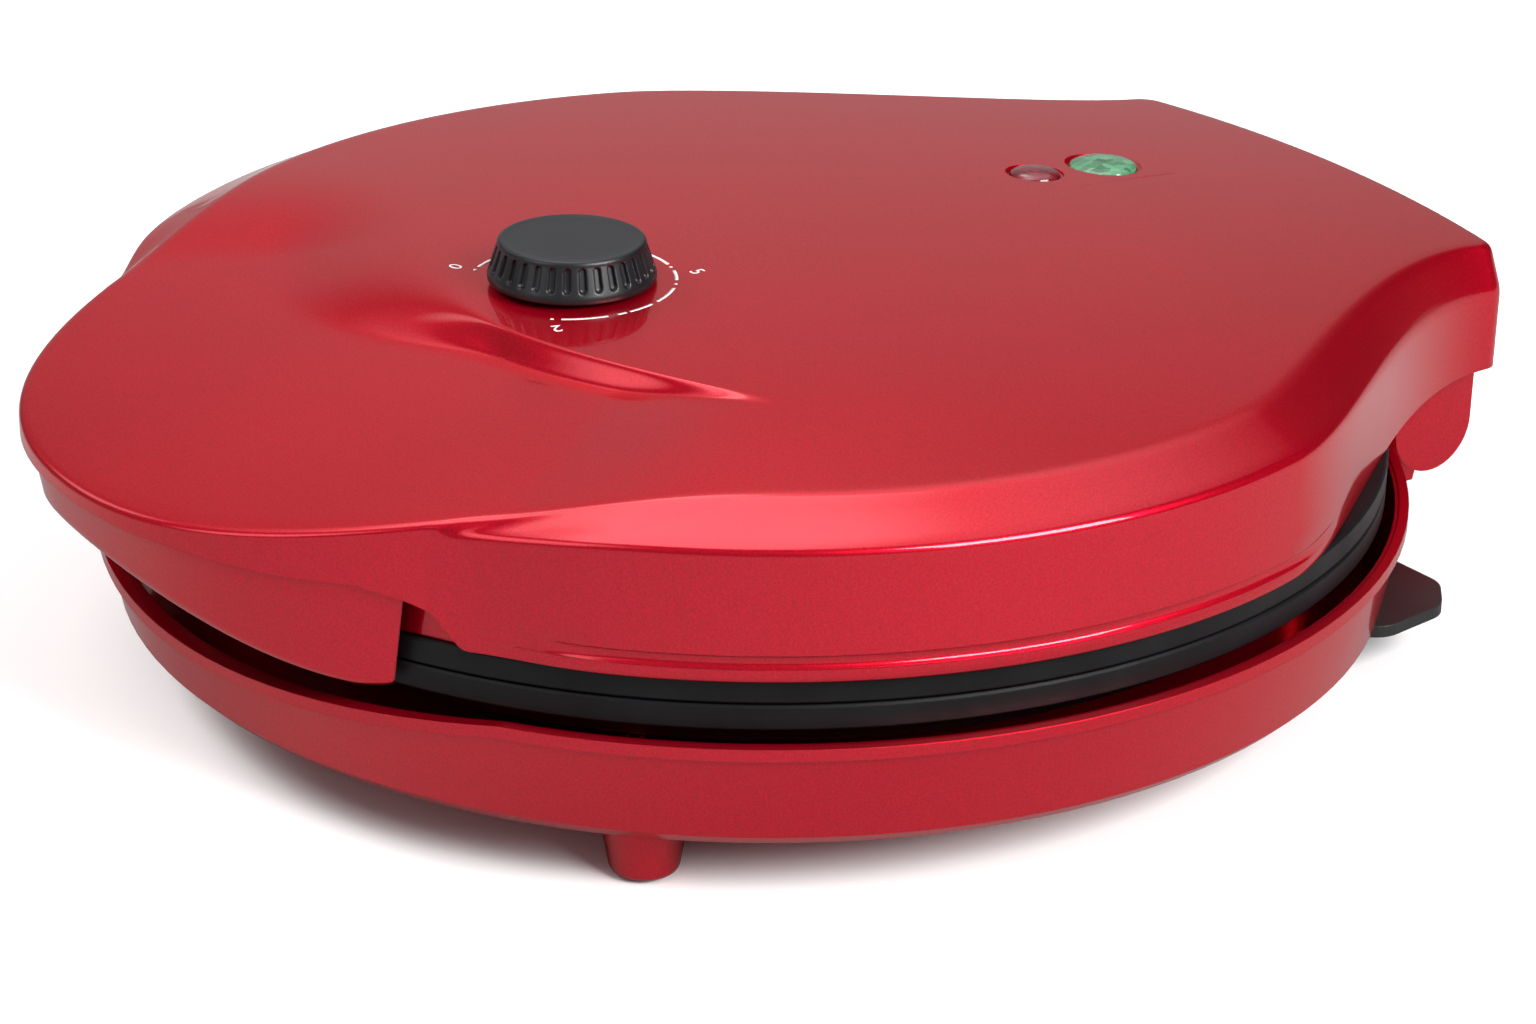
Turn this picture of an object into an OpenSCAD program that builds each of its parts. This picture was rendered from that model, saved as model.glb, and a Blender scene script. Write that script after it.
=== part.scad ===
// Electric pizza maker: two round cooking plates in a clamshell housing, hinged at the
// back, with a drooping handle at the front of the lid and a thermostat knob on top.
// X is across, -Y is the handle, +Y is the hinge, and the feet stand on z = 0.

/* [Cooking plates] */
// Radius of both plates' outer flange
plate_r = 155; // [153:0.5:155.5]
// Height of each plate's visible flange
plate_lip_h = 6; // [5:0.5:6.5]
// Radius of the dish at the parting line
dish_r = 148; // [144:1:149]
// Depth of each dish
dish_depth = 12; // [9:1:13]
// Thickness of the cast plate
plate_t = 3; // [2.5:0.25:3.5]
// Height of the parting line between the plates
parting_z = 48.4; // [48.2:0.1:48.8]
// Gap between the closed plates
plate_gap = 0.4; // [0.3:0.1:0.6]

/* [Base] */
// Radius of the base under its rim
base_r = 160; // [159.5:0.5:162]
// Radius of the base at its bottom edge
base_bottom_r = 156; // [154:0.5:157]
// Height of the base's underside above the table
base_z = 15; // [14:0.5:16]
// Height of the rim's top
rim_z = 41; // [40.5:0.1:41.5]
// Height of the proud band round the rim
rim_band_h = 3; // [2.5:0.25:4]
// How far the rim band stands out
rim_proud = 0.9; // [0.5:0.1:1.2]
// Wall of the moulded housings
wall_t = 2.4; // [2:0.1:2.8]
// How far the rim dips under the handle
scoop_depth = 7.5; // [5:0.5:9]
// Half the width of the dip under the handle
scoop_half_w = 98; // [85:1:104]
// Distance of each foot from the centre line, across
foot_x = 104; // [95:1:106]
// Distance of each foot from the centre, front to back
foot_y = 94; // [85:1:98]
// Radius of a foot where it meets the base
foot_top_r = 10.5; // [10:0.5:12]
// Radius of a foot on the table
foot_bottom_r = 8; // [7.5:0.5:9]

/* [Lid] */
// Radius of the lid's wall under the bevel
lid_wall_r = 156.5; // [156:0.5:158]
// How far the wall flares out towards its foot
lid_flare = 1.7; // [1:0.1:2]
// Radius of the deck's round edge
deck_r = 142; // [138:1:145]
// Height of the deck's crown
crown_z = 97.5; // [96:0.5:99]
// Radius of the sphere that the deck follows
crown_sphere_r = 1650; // [1500:50:1900]
// Height of the bevel's lower edge round the body
bevel_z = 84.5; // [83:0.5:86]
// Height of the bevel's lower edge at the tail's corners
tail_bevel_z = 75.5; // [74:0.5:78]
// Height of the lid's lower edge
lid_bottom_z = 55; // [54.8:0.1:55.4]
// Depth of the groove over the lid's lip
groove_depth = 1.3; // [0.6:0.1:1.5]
// Height of the handle cover's upper joint line
handle_joint_z = 69; // [68:0.5:69.5]
// Half width of the tail
tail_half_w = 70.5; // [68:0.5:72]
// Distance of the tail's corners behind the centre
tail_corner_y = 173; // [171:0.5:174]
// Distance of the tail's back edge behind the centre
tail_back_y = 183; // [181:0.5:184]

/* [Handle] */
// Distance of the handle's tip in front of the centre
tip_y = 183; // [178:1:186]
// Radius of the scarp in front of the knob
scarp_r = 81; // [79:0.5:84]
// Width of the scarp's slope
scarp_w = 3.5; // [2.5:0.5:5]
// Height of the handle deck at the scarp
handle_deck_z = 90.3; // [89:0.1:91.5]
// Height of the handle cover's underside
handle_floor_z = 43; // [42.5:0.5:46]
// Draft of the handle cover's side wall
handle_draft = 4; // [3:0.5:5]

/* [Hinge] */
// Distance of the hinge axis behind the centre
hinge_y = 164.5; // [164.5:0.25:165.5]
// Height of the hinge axis
hinge_z = 38.5; // [38:0.25:39]
// Radius of the hinge pins
pin_r = 2.5; // [2:0.25:3]
// Radial running clearance of the lugs on the pins
pin_play = 0.05; // [0.02:0.01:0.1]
// Radius of the lid's lugs
lug_r = 12.5; // [11:0.5:12.5]
// Distance of a lug's outer face from the centre line
lug_out_x = 66; // [65:0.5:67]
// Width of a lug
lug_w = 12; // [10:0.5:12]

/* [Knob] */
// Distance of the knob in front of the centre
knob_y = 51.4; // [48:0.2:52]
// Radius of the knob's skirt
knob_r = 20; // [18:0.5:21]
// Radius of the knob's top face
knob_top_r = 17.2; // [15:0.2:17.6]
// Height of the knob
knob_h = 9.8; // [9:0.2:14]
// Number of finger slots round the knob
knob_slots = 32; // [24:1:36]
// Width of a finger slot
knob_slot_w = 1.9; // [1.2:0.1:2]
// Radius of the control shaft
shaft_r = 3; // [2.5:0.25:3.5]

/* [Lamps] */
// Position of both lenses across
lens_x = -14; // [-16:1:0]
// Distance of the red lens behind the centre
red_y = 94; // [92:1:96]
// Distance of the green lens behind the centre
green_y = 116; // [114:1:118]
// Radius of the red lens
red_r = 6.4; // [5:0.2:7]
// Radius of the green lens
green_r = 8.8; // [7:0.2:9.4]

/* [Heating] */
// Radius of the heating elements' ring
element_r = 105; // [90:1:112]
// Radius of the heating elements' tube
tube_r = 3.25; // [3:0.25:3.5]
// Thickness of the sheet steel heat shields
sheet_t = 0.6; // [0.5:0.1:1]

/* [Hidden] */

$fn = 96;
eps = 0.01;
body_red = [0.62, 0.04, 0.08];
black = [0.08, 0.08, 0.09];
steel = [0.72, 0.72, 0.74];

// Plate heights, from the parting line
lower_lip_z = parting_z - plate_lip_h;
lower_dish_z = parting_z - dish_depth;
upper_bottom_z = parting_z + plate_gap;
upper_lip_z = upper_bottom_z + plate_lip_h;
upper_dish_z = upper_bottom_z + dish_depth;
plate_post_r = 133;
plate_post_count = 4;
// How far the posts stand out from a plate's back
plate_post_h = 3.4;
// The element hangs half its depth in a channel on the plate's back
lower_element_z = lower_dish_z - plate_t - tube_r;
upper_element_z = upper_dish_z + plate_t + tube_r;
frame_flange_z = 67.3;
frame_flange_t = 2.2;
frame_flange_inner_r = 127;
frame_r = 153.6;
frame_play = 0.7;

// Small helpers -----------------------------------------------------------------------

function clamp01(v) = min(1, max(0, v));
function smooth(v) = clamp01(v) * clamp01(v) * (3 - 2 * clamp01(v));
function lerp(a, b, t) = a + (b - a) * t;
function bezier(p, t) = pow(1 - t, 3) * p[0] + 3 * t * pow(1 - t, 2) * p[1]
    + 3 * t * t * (1 - t) * p[2] + pow(t, 3) * p[3];
function slope(p, t) = 3 * pow(1 - t, 2) * (p[1] - p[0]) + 6 * t * (1 - t) * (p[2] - p[1])
    + 3 * t * t * (p[3] - p[2]);
// Point of a Bezier curve moved d to its left
function beside(p, t, d) = let (s = direction(slope(p, t))) bezier(p, t) + d * [-s[1], s[0]];
function curve(p, n) = [for (i = [0 : n - 1]) bezier(p, i / n)];
function polar(r, a) = [r * cos(a), r * sin(a)];
function arc(r, a0, a1, n, centre = [0, 0]) =
    [for (i = [0 : n - 1]) centre + polar(r, lerp(a0, a1, i / n))];
// Closed outline from its right half, which runs from the front to the back
function both_sides(half) = concat(half,
    [for (i = [len(half) - 2 : -1 : 1]) [-half[i][0], half[i][1]]]);
// Outline moved inwards along its own normals
function inset(p, d) = [for (i = [0 : len(p) - 1])
    let (a = p[(i + len(p) - 1) % len(p)], b = p[(i + 1) % len(p)], t = (b - a) / norm(b - a))
    p[i] + d * [-t[1], t[0]]];
function direction(p) = p / norm(p);

// Lid outlines ------------------------------------------------------------------------

// Where the round deck edge gives way to the handle and to the tail
deck_front_a = -33;
deck_back_a = 18;
wall_front_a = -45;
wall_back_a = 17;
neck = [84, -133];
nose_points = 9;
flank_points = 7;
arc_points = 11;
tail_points = 10;
corner_points = 4;
back_points = 4;
corner_r = 5;

// Bulging back edge between the tail's corners, and the corner itself
function back_edge(corner, back_y, n) =
    let (half_w = corner[0] - 0.9 * corner_r, rise = back_y - corner[1] - 0.8 * corner_r,
        r = (half_w * half_w + rise * rise) / (2 * rise), a = asin(half_w / r))
    [for (i = [0 : n]) [r * sin(a * (1 - i / n)), back_y - r + r * cos(a * (1 - i / n))]];
function tail_corner(corner, n) = arc(corner_r, 0, 75, n, corner - [corner_r, 1]);

// Handle nose, shared by the deck and by the skirt under it
nose_curve = [[0, -tip_y], [43, -tip_y], [66, -161], neck];
nose = curve(nose_curve, nose_points);
deck_half = concat(nose,
    curve([neck, [95, -114], polar(deck_r, deck_front_a) - 22 * polar(1, deck_front_a + 90),
        polar(deck_r, deck_front_a)], flank_points),
    arc(deck_r, deck_front_a, deck_back_a, arc_points),
    curve([polar(deck_r, deck_back_a), [127, 68.5], [tail_half_w + 1, 132],
        [tail_half_w, tail_corner_y - 1]], tail_points),
    tail_corner([tail_half_w, tail_corner_y], corner_points),
    back_edge([tail_half_w, tail_corner_y], tail_back_y, back_points));
wall_half = concat(nose,
    curve([neck + [0.6, -0.3], [89.5, -126.5],
        polar(lid_wall_r, wall_front_a) - 12 * polar(1, wall_front_a + 90),
        polar(lid_wall_r, wall_front_a)], flank_points),
    arc(lid_wall_r, wall_front_a, wall_back_a, arc_points),
    curve([polar(lid_wall_r, wall_back_a), [141, 76], [tail_half_w + 4.5, 136],
        [tail_half_w + 4, tail_corner_y + 1]], tail_points),
    tail_corner([tail_half_w + 4, tail_corner_y + 1], corner_points),
    back_edge([tail_half_w + 4, tail_corner_y + 1], tail_back_y, back_points));
deck_line = both_sides(deck_half);
wall_line = both_sides(wall_half);

// Deck surface: a shallow sphere, and in front of the scarp the drooping handle deck
function crown(p) = crown_z - (p * p) / (2 * crown_sphere_r);
function droop(y) = let (t = -y - 76) handle_deck_z - 0.081 * t - 0.00057 * t * abs(t);
function off_front(p) = abs(atan2(p[0], -p[1]));
function scarp_line(p) = scarp_r + 15 * pow(min(1, off_front(p) / 60), 3);
function deck_z(p) = let (fade = 1 - smooth((off_front(p) - 35) / 25),
        past = clamp01((norm(p) - scarp_line(p)) / scarp_w))
    crown(p) - fade * past * max(0, crown(p) - droop(p[1]));
// Lower edge of the bevel, which falls towards the tail and vanishes at the handle
function bevel_low(p) = min(lerp(bevel_z, tail_bevel_z, smooth((p[1] - 40) / 138)),
    deck_z(p) - 2.6);

// Point at a given distance out along a deck point's own ray, lowered by d
function on_ray(p, r, d) = let (q = direction(p) * r) [q[0], q[1], deck_z(q) - d];
function at_height(p, z) = [p[0], p[1], z];
// Share of the wall's flare at an outline point: none at the handle and the tail
function flare_share(p) = smooth((off_front(p) - 34) / 14) * smooth((130 - off_front(p)) / 30);
function flared(p, f) = p * (1 + f * flare_share(p) / lid_wall_r);

// Solid between a stack of rings with the same number of points, closed by a point
// above the first ring and by the last ring's own plane
module loft(apex, rings) {
    n = len(rings[0]);
    k = len(rings);
    points = concat([apex], [for (r = rings) each r]);
    faces = concat(
        [for (i = [0 : n - 1]) [0, 1 + (i + 1) % n, 1 + i]],
        [for (j = [0 : k - 2], i = [0 : n - 1])
            [1 + j * n + i, 1 + j * n + (i + 1) % n, 1 + (j + 1) * n + i]],
        [for (j = [0 : k - 2], i = [0 : n - 1])
            [1 + j * n + (i + 1) % n, 1 + (j + 1) * n + (i + 1) % n, 1 + (j + 1) * n + i]],
        [[for (i = [0 : n - 1]) 1 + (k - 1) * n + i]]);
    polyhedron(points, faces, convexity = 8);
}

// Rings of the deck from the crown to its edge, d below the surface
function deck_rings(d, edge) = [
    [for (p = deck_line) on_ray(p, scarp_line(p) * 0.5, d)],
    [for (p = deck_line) on_ray(p, scarp_line(p), d)],
    [for (p = deck_line) on_ray(p, scarp_line(p) + scarp_w, d)],
    for (f = [0.35, 0.7])
        [for (p = deck_line) on_ray(p, lerp(scarp_line(p) + scarp_w, norm(p) - edge, f), d)],
    [for (p = deck_line) on_ray(p, norm(p) - edge, d)]];

// How deep the groove over the lip is at an outline point: none at the handle and the tail
function groove(p) = groove_depth * smooth((off_front(p) - 36) / 12)
    * smooth((118 - off_front(p)) / 16);

module lid_outer() {
    loft([0, 0, crown_z], concat(deck_rings(0, 2.8), [
        [for (p = deck_line) at_height(p - 0.8 * direction(p), deck_z(p) - 0.5)],
        [for (p = deck_line) at_height(p, deck_z(p) - 1.9)],
        [for (p = wall_line) at_height(p - 0.3 * direction(p), bevel_low(p))],
        [for (p = wall_line) at_height(p, bevel_low(p) - 1.2)],
        [for (p = wall_line) at_height(flared(p, lid_flare), lid_bottom_z + 6.6)],
        [for (p = wall_line) at_height(flared(p, lid_flare - groove(p)), lid_bottom_z + 5.8)],
        [for (p = wall_line) at_height(flared(p, lid_flare - groove(p)), lid_bottom_z + 3.6)],
        [for (p = wall_line) at_height(flared(p, lid_flare - 0.5), lid_bottom_z + 3)],
        [for (p = wall_line) at_height(flared(p, lid_flare - 1), lid_bottom_z)]]));
}

module lid_inner() {
    thin = inset(wall_line, wall_t);
    loft([0, 0, crown_z - wall_t], concat(deck_rings(wall_t, wall_t + 3), [
        [for (i = [0 : len(thin) - 1])
            at_height(thin[i], bevel_low(wall_line[i]) - wall_t - 1.5)],
        [for (p = thin) at_height(p, lid_bottom_z - 1)]]));
}

// Step in the lid's lower edge that frees the handle cover, seen from the front
module handle_step() {
    low = lid_bottom_z - 5;
    half = concat([[100, low], [93, low], [93, lid_bottom_z - 1]],
        curve([[92, lid_bottom_z], [86, lid_bottom_z + 1], [88, 64], [80, 65.6]], 5),
        [for (x = [78 : -8 : 6]) [x, joint_z(x)]]);
    translate([0, -115, 0])
        rotate([90, 0, 0])
            linear_extrude(90)
                polygon(concat([for (i = [1 : len(half) - 1]) half[i]],
                    [for (i = [len(half) - 1 : -1 : 1]) [-half[i][0], half[i][1]]]));
}

handle_screw_at = [for (a = [-90, -80, -100]) polar(168, a)];
// Height of the handle cover's screw pads above its underside
screw_pad_h = 5;
frame_screw_r = 140;
frame_screw_angles = [25, 65, 115, 155, 205, 335];

module lid_cover() color(body_red) {
    difference() {
        lid_outer();
        lid_inner();
        handle_step();
        translate([0, -knob_y, 80]) cylinder(r = shaft_r + 2, h = 30);
        lens_hole(red_y, red_r);
        lens_hole(green_y, green_r);
    }
    cover_bosses();
}

// Hole for a lens, with a shallow dish round it
module lens_hole(y, r) {
    z = crown([lens_x, y]);
    translate([lens_x, y, z - 6]) cylinder(r = r + 0.2, h = 12);
    translate([lens_x, y, z - 0.8]) cylinder(r = r + 1.2, h = 4);
}

// Screw posts under the deck and in the handle, each with a blind hole for its screw
module cover_bosses() {
    for (a = frame_screw_angles)
        let (p = polar(frame_screw_r, a))
            translate([p[0], p[1], frame_flange_z + frame_flange_t])
                boss(3.6, crown(p) - 1.6 - frame_flange_z - 2.2);
    for (p = handle_screw_at)
        translate([p[0], p[1], handle_floor_at(p[1]) + screw_pad_h])
            boss(3.4, deck_z(p) - 1.35 - handle_floor_at(p[1]) - screw_pad_h);
}

module boss(r, h)
    difference() {
        cylinder(r = r, h = h, $fn = 24);
        translate([0, 0, -1]) cylinder(r = 1.5, h = 12, $fn = 24);
    }

// Base ---------------------------------------------------------------------------------

foot_at = [for (x = [-1, 1], y = [-1, 1]) [x * foot_x, y * foot_y]];
tower_half_w = lug_out_x - lug_w - 1.5;
scoop_r = (scoop_half_w * scoop_half_w + scoop_depth * scoop_depth) / (2 * scoop_depth);
plate_posts = [for (i = [0 : plate_post_count - 1]) polar(plate_post_r, 45 + 90 * i)];

module base_wall() {
    corner = 2.5;
    rotate_extrude($fn = 180)
        polygon([[0, base_z], [base_bottom_r - corner, base_z],
            [base_bottom_r, base_z + corner], [base_r, rim_z - rim_band_h],
            [base_r, rim_z - 0.8], [base_r - 0.8, rim_z],
            [base_r - wall_t, rim_z], [base_bottom_r - wall_t, base_z + corner + 1],
            [base_bottom_r - wall_t - corner, base_z + wall_t], [0, base_z + wall_t]]);
}

// Space above a shallow arch line that dips at the front, shifted down by d
module above_scoop(d) {
    translate([0, -110, rim_z - scoop_depth + scoop_r - d])
        rotate([90, 0, 0]) cylinder(r = scoop_r, h = 70, $fn = 180);
}

// Proud band round the rim, which follows the dip at the front
module rim_band() {
    out_r = base_r + rim_proud;
    module ring(z0, z1)
        translate([0, 0, z0])
            difference() {
                cylinder(r = out_r, h = z1 - z0, $fn = 180);
                translate([0, 0, -1]) cylinder(r = base_r - 1.2, h = z1 - z0 + 2, $fn = 180);
            }
    difference() {
        ring(rim_z - rim_band_h, rim_z);
        above_scoop(0);
        above_scoop(rim_band_h);
        hinge_notch();
    }
    difference() {
        intersection() {
            ring(base_z + 10, rim_z);
            above_scoop(rim_band_h);
        }
        above_scoop(0);
    }
}

// Room for the lid's lugs in the base's rim
module hinge_notch() {
    for (side = [-1, 1])
        translate([side * (lug_out_x - lug_w / 2), hinge_y, hinge_z])
            rotate([0, 90, 0]) cylinder(r = lug_r + 0.6, h = lug_w + 2, center = true);
}

// Hollow tower behind the base that carries the hinge pins and the cord gland
module hinge_tower(r, half_w, front, low) {
    rotate([90, 0, 90])
        translate([0, 0, -half_w])
            linear_extrude(2 * half_w)
                union() {
                    translate([hinge_y, hinge_z]) circle(r = r);
                    polygon([[front, low], [hinge_y + r - 5, low], [hinge_y + r, hinge_z],
                        [hinge_y, hinge_z + r], [front, hinge_z + r]]);
                }
}

module base_shell() color(body_red) {
    vent_len = 34;
    difference() {
        union() {
            difference() {
                union() {
                    base_wall();
                    hinge_tower(lug_r - 0.5, tower_half_w, 148, base_z + 2);
                }
                above_scoop(0);
                translate([0, 0, rim_z - 0.2]) cylinder(r = 158.5, h = 20);
                intersection() {
                    hinge_tower(lug_r - 0.5 - wall_t, tower_half_w - 10, 140, base_z + 2 + wall_t);
                    translate([-100, 130, 0]) cube([200, 60, 60]);
                }
                translate([0, 0, base_z + wall_t])
                    cylinder(r1 = base_bottom_r - wall_t - 1, r2 = base_r - wall_t - 0.1,
                        h = rim_z - base_z);
            }
            rim_band();
            for (p = foot_at) translate([p[0], p[1], 0]) foot();
            for (p = plate_posts)
                translate([p[0], p[1], base_z + 1])
                    cylinder(r = 5.5, h = lower_dish_z - plate_t - plate_post_h - base_z - 1, $fn = 32);
        }
        hinge_notch();
        for (p = plate_posts) {
            translate([p[0], p[1], base_z - 1]) cylinder(r = 2, h = 30, $fn = 24);
            translate([p[0], p[1], base_z - 1]) cylinder(r = 4, h = 4.5, $fn = 24);
        }
        for (side = [-1, 1])
            translate([side * (tower_half_w - 5), hinge_y, hinge_z])
                rotate([0, 90, 0]) cylinder(r = pin_r, h = 30, center = true);
        translate([0, 150, gland_z]) rotate([-90, 0, 0]) cylinder(r = gland_r + 0.1, h = 40);
        for (side = [-1, 1], i = [-3 : 3])
            translate([side * 45 - vent_len / 2, i * 12 - 1.5, base_z - 1])
                cube([vent_len, 3, wall_t + 2]);
        for (p = wrap_screw_at)
            translate([p[0], p[1], base_z - 1]) cylinder(r = 1.5, h = 8, $fn = 24);
    }
}

// Moulded foot with a pocket for its rubber pad
module foot() {
    round_r = 2;
    difference() {
        rotate_extrude($fn = 48)
            polygon(concat([[0, 0.6]],
                [for (i = [0 : 5]) [foot_bottom_r - round_r, 0.6 + round_r]
                    + polar(round_r, lerp(-90, -10, i / 5))],
                [[foot_top_r, base_z + 1], [0, base_z + 1]]));
        translate([0, 0, -1]) cylinder(r = 5.2, h = 4, $fn = 32);
    }
}

module foot_pads() color(black)
    for (p = foot_at)
        translate([p[0], p[1], 0]) {
            translate([0, 0, 0.4]) cylinder(r = 5, h = 2.6, $fn = 32);
            cylinder(r1 = 4.4, r2 = 5, h = 0.4, $fn = 32);
        }

// Two flat ears under the back of the base that the cord winds round
wrap_angle = 51;
wrap_screw_at = [for (a = [wrap_angle, 180 - wrap_angle], d = [-6, 6]) polar(128, a + d)];

module cord_wrap_tabs() color(black)
    difference() {
        for (a = [wrap_angle, 180 - wrap_angle])
            rotate([0, 0, a])
                translate([0, 0, base_z - 3]) {
                    linear_extrude(3)
                        offset(r = 8, $fn = 32)
                            polygon([[122, -13], [153.6, -13.9], [163, -3.5],
                                [163, 3.5], [153.6, 13.9], [122, 13]]);
                    translate([141, 0, -6]) linear_extrude(6.5) square([5, 22], center = true);
                }
        for (p = wrap_screw_at)
            translate([p[0], p[1], 0]) cylinder(r = 1.7, h = base_z + 1, $fn = 24);
        for (p = foot_at)
            translate([p[0], p[1], 0]) cylinder(r = foot_top_r + 0.5, h = base_z + 1, $fn = 48);
    }

module screw(head_r, head_h, shank_r, length)
    union() {
        cylinder(r = head_r, h = head_h, $fn = 24);
        cylinder(r = shank_r, h = length, $fn = 24);
    }

module wrap_screws() color(steel)
    for (p = wrap_screw_at)
        translate([p[0], p[1], base_z - 5]) screw(3, 2, 1.45, 6.8);

module lower_plate_screws() color(steel)
    for (p = plate_posts)
        translate([p[0], p[1], base_z + 1]) screw(3.6, 2.4, 1.6, 16.5);

// Bush for the mains lead in the back of the hinge tower
gland_z = 27;
gland_r = 4.9;
gland_flange_y = 175.4;
module cord_gland() color(black)
    translate([0, gland_flange_y - 8, gland_z])
        rotate([-90, 0, 0])
            difference() {
                union() {
                    cylinder(r = gland_r, h = 9, $fn = 48);
                    translate([0, 0, 8]) cylinder(r = gland_r + 1.3, h = 1.6, $fn = 48);
                }
                translate([0, 0, -1]) cylinder(r = 3.2, h = 20, $fn = 48);
            }

module terminal_block() color("ivory")
    translate([-16, 118, base_z + wall_t])
        difference() {
            cube([32, 12, 4.6]);
            for (x = [6, 16, 26])
                translate([x, -1, 2.4]) rotate([-90, 0, 0]) cylinder(r = 1.4, h = 14, $fn = 24);
        }

// Plates --------------------------------------------------------------------------------

// Dished casting seen from its back: rim at the bottom, back face upwards
module plate_form() {
    floor_z = dish_depth;
    back_z = floor_z + plate_t;
    difference() {
        union() {
            rotate_extrude($fn = 180)
                polygon([[0, floor_z], [dish_r - 9, floor_z], [dish_r - 6.5, floor_z - 1],
                    [dish_r - 1, 1.2], [dish_r, 0.4], [dish_r + 0.6, 0], [plate_r - 0.5, 0],
                    [plate_r, 0.5], [plate_r, plate_lip_h - 0.6], [plate_r - 0.6, plate_lip_h],
                    [dish_r + 1.8, plate_lip_h], [dish_r - 4.6, back_z - 1.5],
                    [dish_r - 7, back_z], [0, back_z]]);
            for (p = plate_posts)
                translate([p[0], p[1], back_z - 1]) cylinder(r = 4, h = 1 + plate_post_h, $fn = 32);
            translate([0, 0, back_z - 1])
                difference() {
                    cylinder(r = element_r + tube_r + 3, h = 1 + tube_r);
                    translate([0, 0, -1]) cylinder(r = element_r - tube_r - 3, h = 8);
                }
        }
        translate([0, 0, back_z + tube_r])
            rotate_extrude() translate([element_r, 0]) circle(r = tube_r + 0.05, $fn = 32);
        for (p = plate_posts) translate([p[0], p[1], back_z - 0.5]) cylinder(r = 1.65, h = 8, $fn = 24);
    }
}

module lower_plate() color(black)
    translate([0, 0, parting_z]) mirror([0, 0, 1]) plate_form();

module upper_plate() color(black)
    translate([0, 0, upper_bottom_z]) plate_form();

// Ring of tubular heater with two straight terminals, seen from the plate's side
module element_form() {
    gap_a = 24;
    rotate([0, 0, 90 + gap_a / 2])
        rotate_extrude(angle = 360 - gap_a) translate([element_r, 0]) circle(r = tube_r, $fn = 32);
    for (side = [-1, 1])
        rotate([0, 0, 90 + side * gap_a / 2])
            translate([element_r, 0, 0.3]) {
                cylinder(r = tube_r + 0.5, h = 6.2, $fn = 32);
                cylinder(r = 1.2, h = 8.2, $fn = 24);
            }
}

module lower_element() color(steel)
    translate([0, 0, lower_element_z]) mirror([0, 0, 1]) element_form();

module upper_element() color(steel)
    translate([0, 0, upper_element_z]) element_form();

// Sheet steel pan behind an element: rim at z = 0, bottom at z = depth
module shield_form(rim_r, depth) {
    pan_r = rim_r - 6;
    difference() {
        rotate_extrude($fn = 120)
            polygon([[0, depth - sheet_t], [pan_r - 3, depth - sheet_t], [pan_r, sheet_t + 1],
                [pan_r, 0], [rim_r, 0], [rim_r, sheet_t], [pan_r + sheet_t, sheet_t],
                [pan_r + sheet_t, sheet_t + 1], [pan_r - 3 + sheet_t, depth], [0, depth]]);
        for (side = [-1, 1])
            rotate([0, 0, 90 + side * 12]) translate([element_r, 0, -1]) cylinder(r = 4, h = 20, $fn = 32);
    }
}

module lower_heat_shield() color(steel)
    translate([0, 0, lower_dish_z - plate_t]) mirror([0, 0, 1]) shield_form(128, 9.5);

module upper_heat_shield() color(steel)
    translate([0, 0, frame_flange_z + frame_flange_t])
        difference() {
            shield_form(134, 5);
            for (p = plate_posts) translate([p[0], p[1], -1]) cylinder(r = 4.4, h = 8, $fn = 24);
        }

// Lid inside ------------------------------------------------------------------------------

// Outline of the frame: round, but held inside the lid's wall beside the tail, d inwards
function frame_line(d) = [for (p = inset(wall_line, wall_t + frame_play))
    direction(p) * (min(norm(p), frame_r) - d)];

// Ring that stands on the upper plate, with a flange turned in at its top
module frame_ring() {
    foot_z = upper_lip_z + 0.2;
    difference() {
        translate([0, 0, foot_z])
            linear_extrude(frame_flange_z + frame_flange_t - foot_z) polygon(frame_line(0));
        translate([0, 0, foot_z - 1])
            linear_extrude(frame_flange_z - foot_z + 1) polygon(frame_line(wall_t));
        cylinder(r = frame_flange_inner_r, h = 100, $fn = 180);
    }
}

// Room for the sloping back of the upper plate's dish
module plate_room() {
    low = upper_lip_z - 3;
    wide_r = dish_r + 2.9;
    top = upper_dish_z + plate_t - 1.3;
    rotate_extrude($fn = 180)
        polygon([[0, low], [wide_r, low], [wide_r, low + 2.4], [dish_r - 4.2, top], [0, top]]);
}

module lid_frame() color(body_red)
    difference() {
        union() {
            frame_ring();
            tail_tray();
            for (side = [-1, 1]) scale_x(side) lug();
        }
        plate_room();
        for (p = plate_posts) translate([p[0], p[1], 60]) cylinder(r = 1.8, h = 20, $fn = 24);
        for (a = frame_screw_angles)
            let (p = polar(frame_screw_r, a))
                translate([p[0], p[1], 60]) cylinder(r = 1.8, h = 20, $fn = 24);
        for (side = [-1, 1])
            translate([side * (lug_out_x - lug_w - 1), hinge_y, hinge_z])
                rotate([0, side * 90, 0]) cylinder(r = pin_r + pin_play, h = 10.5);
    }

module scale_x(side) mirror([side < 0 ? 1 : 0, 0, 0]) children();

// Floor of the tail, outside the plate's ring
module tail_tray() {
    difference() {
        translate([0, 0, lid_bottom_z + 0.4])
            linear_extrude(wall_t)
                intersection() {
                    polygon(inset(wall_line, wall_t + frame_play + 0.1));
                    translate([-110, 98]) square([220, 100]);
                }
        translate([0, 0, lid_bottom_z - 1]) linear_extrude(8) polygon(frame_line(wall_t / 2));
    }
}

// Rounded lug that drops from the tail's floor and turns on a hinge pin
module lug() {
    top = lid_bottom_z + 1;
    translate([lug_out_x - lug_w, 0, 0])
        rotate([90, 0, 90])
            linear_extrude(lug_w)
                union() {
                    translate([hinge_y, hinge_z]) circle(r = lug_r);
                    translate([hinge_y - lug_r, hinge_z]) square([2 * lug_r, top - hinge_z]);
                }
}

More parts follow.
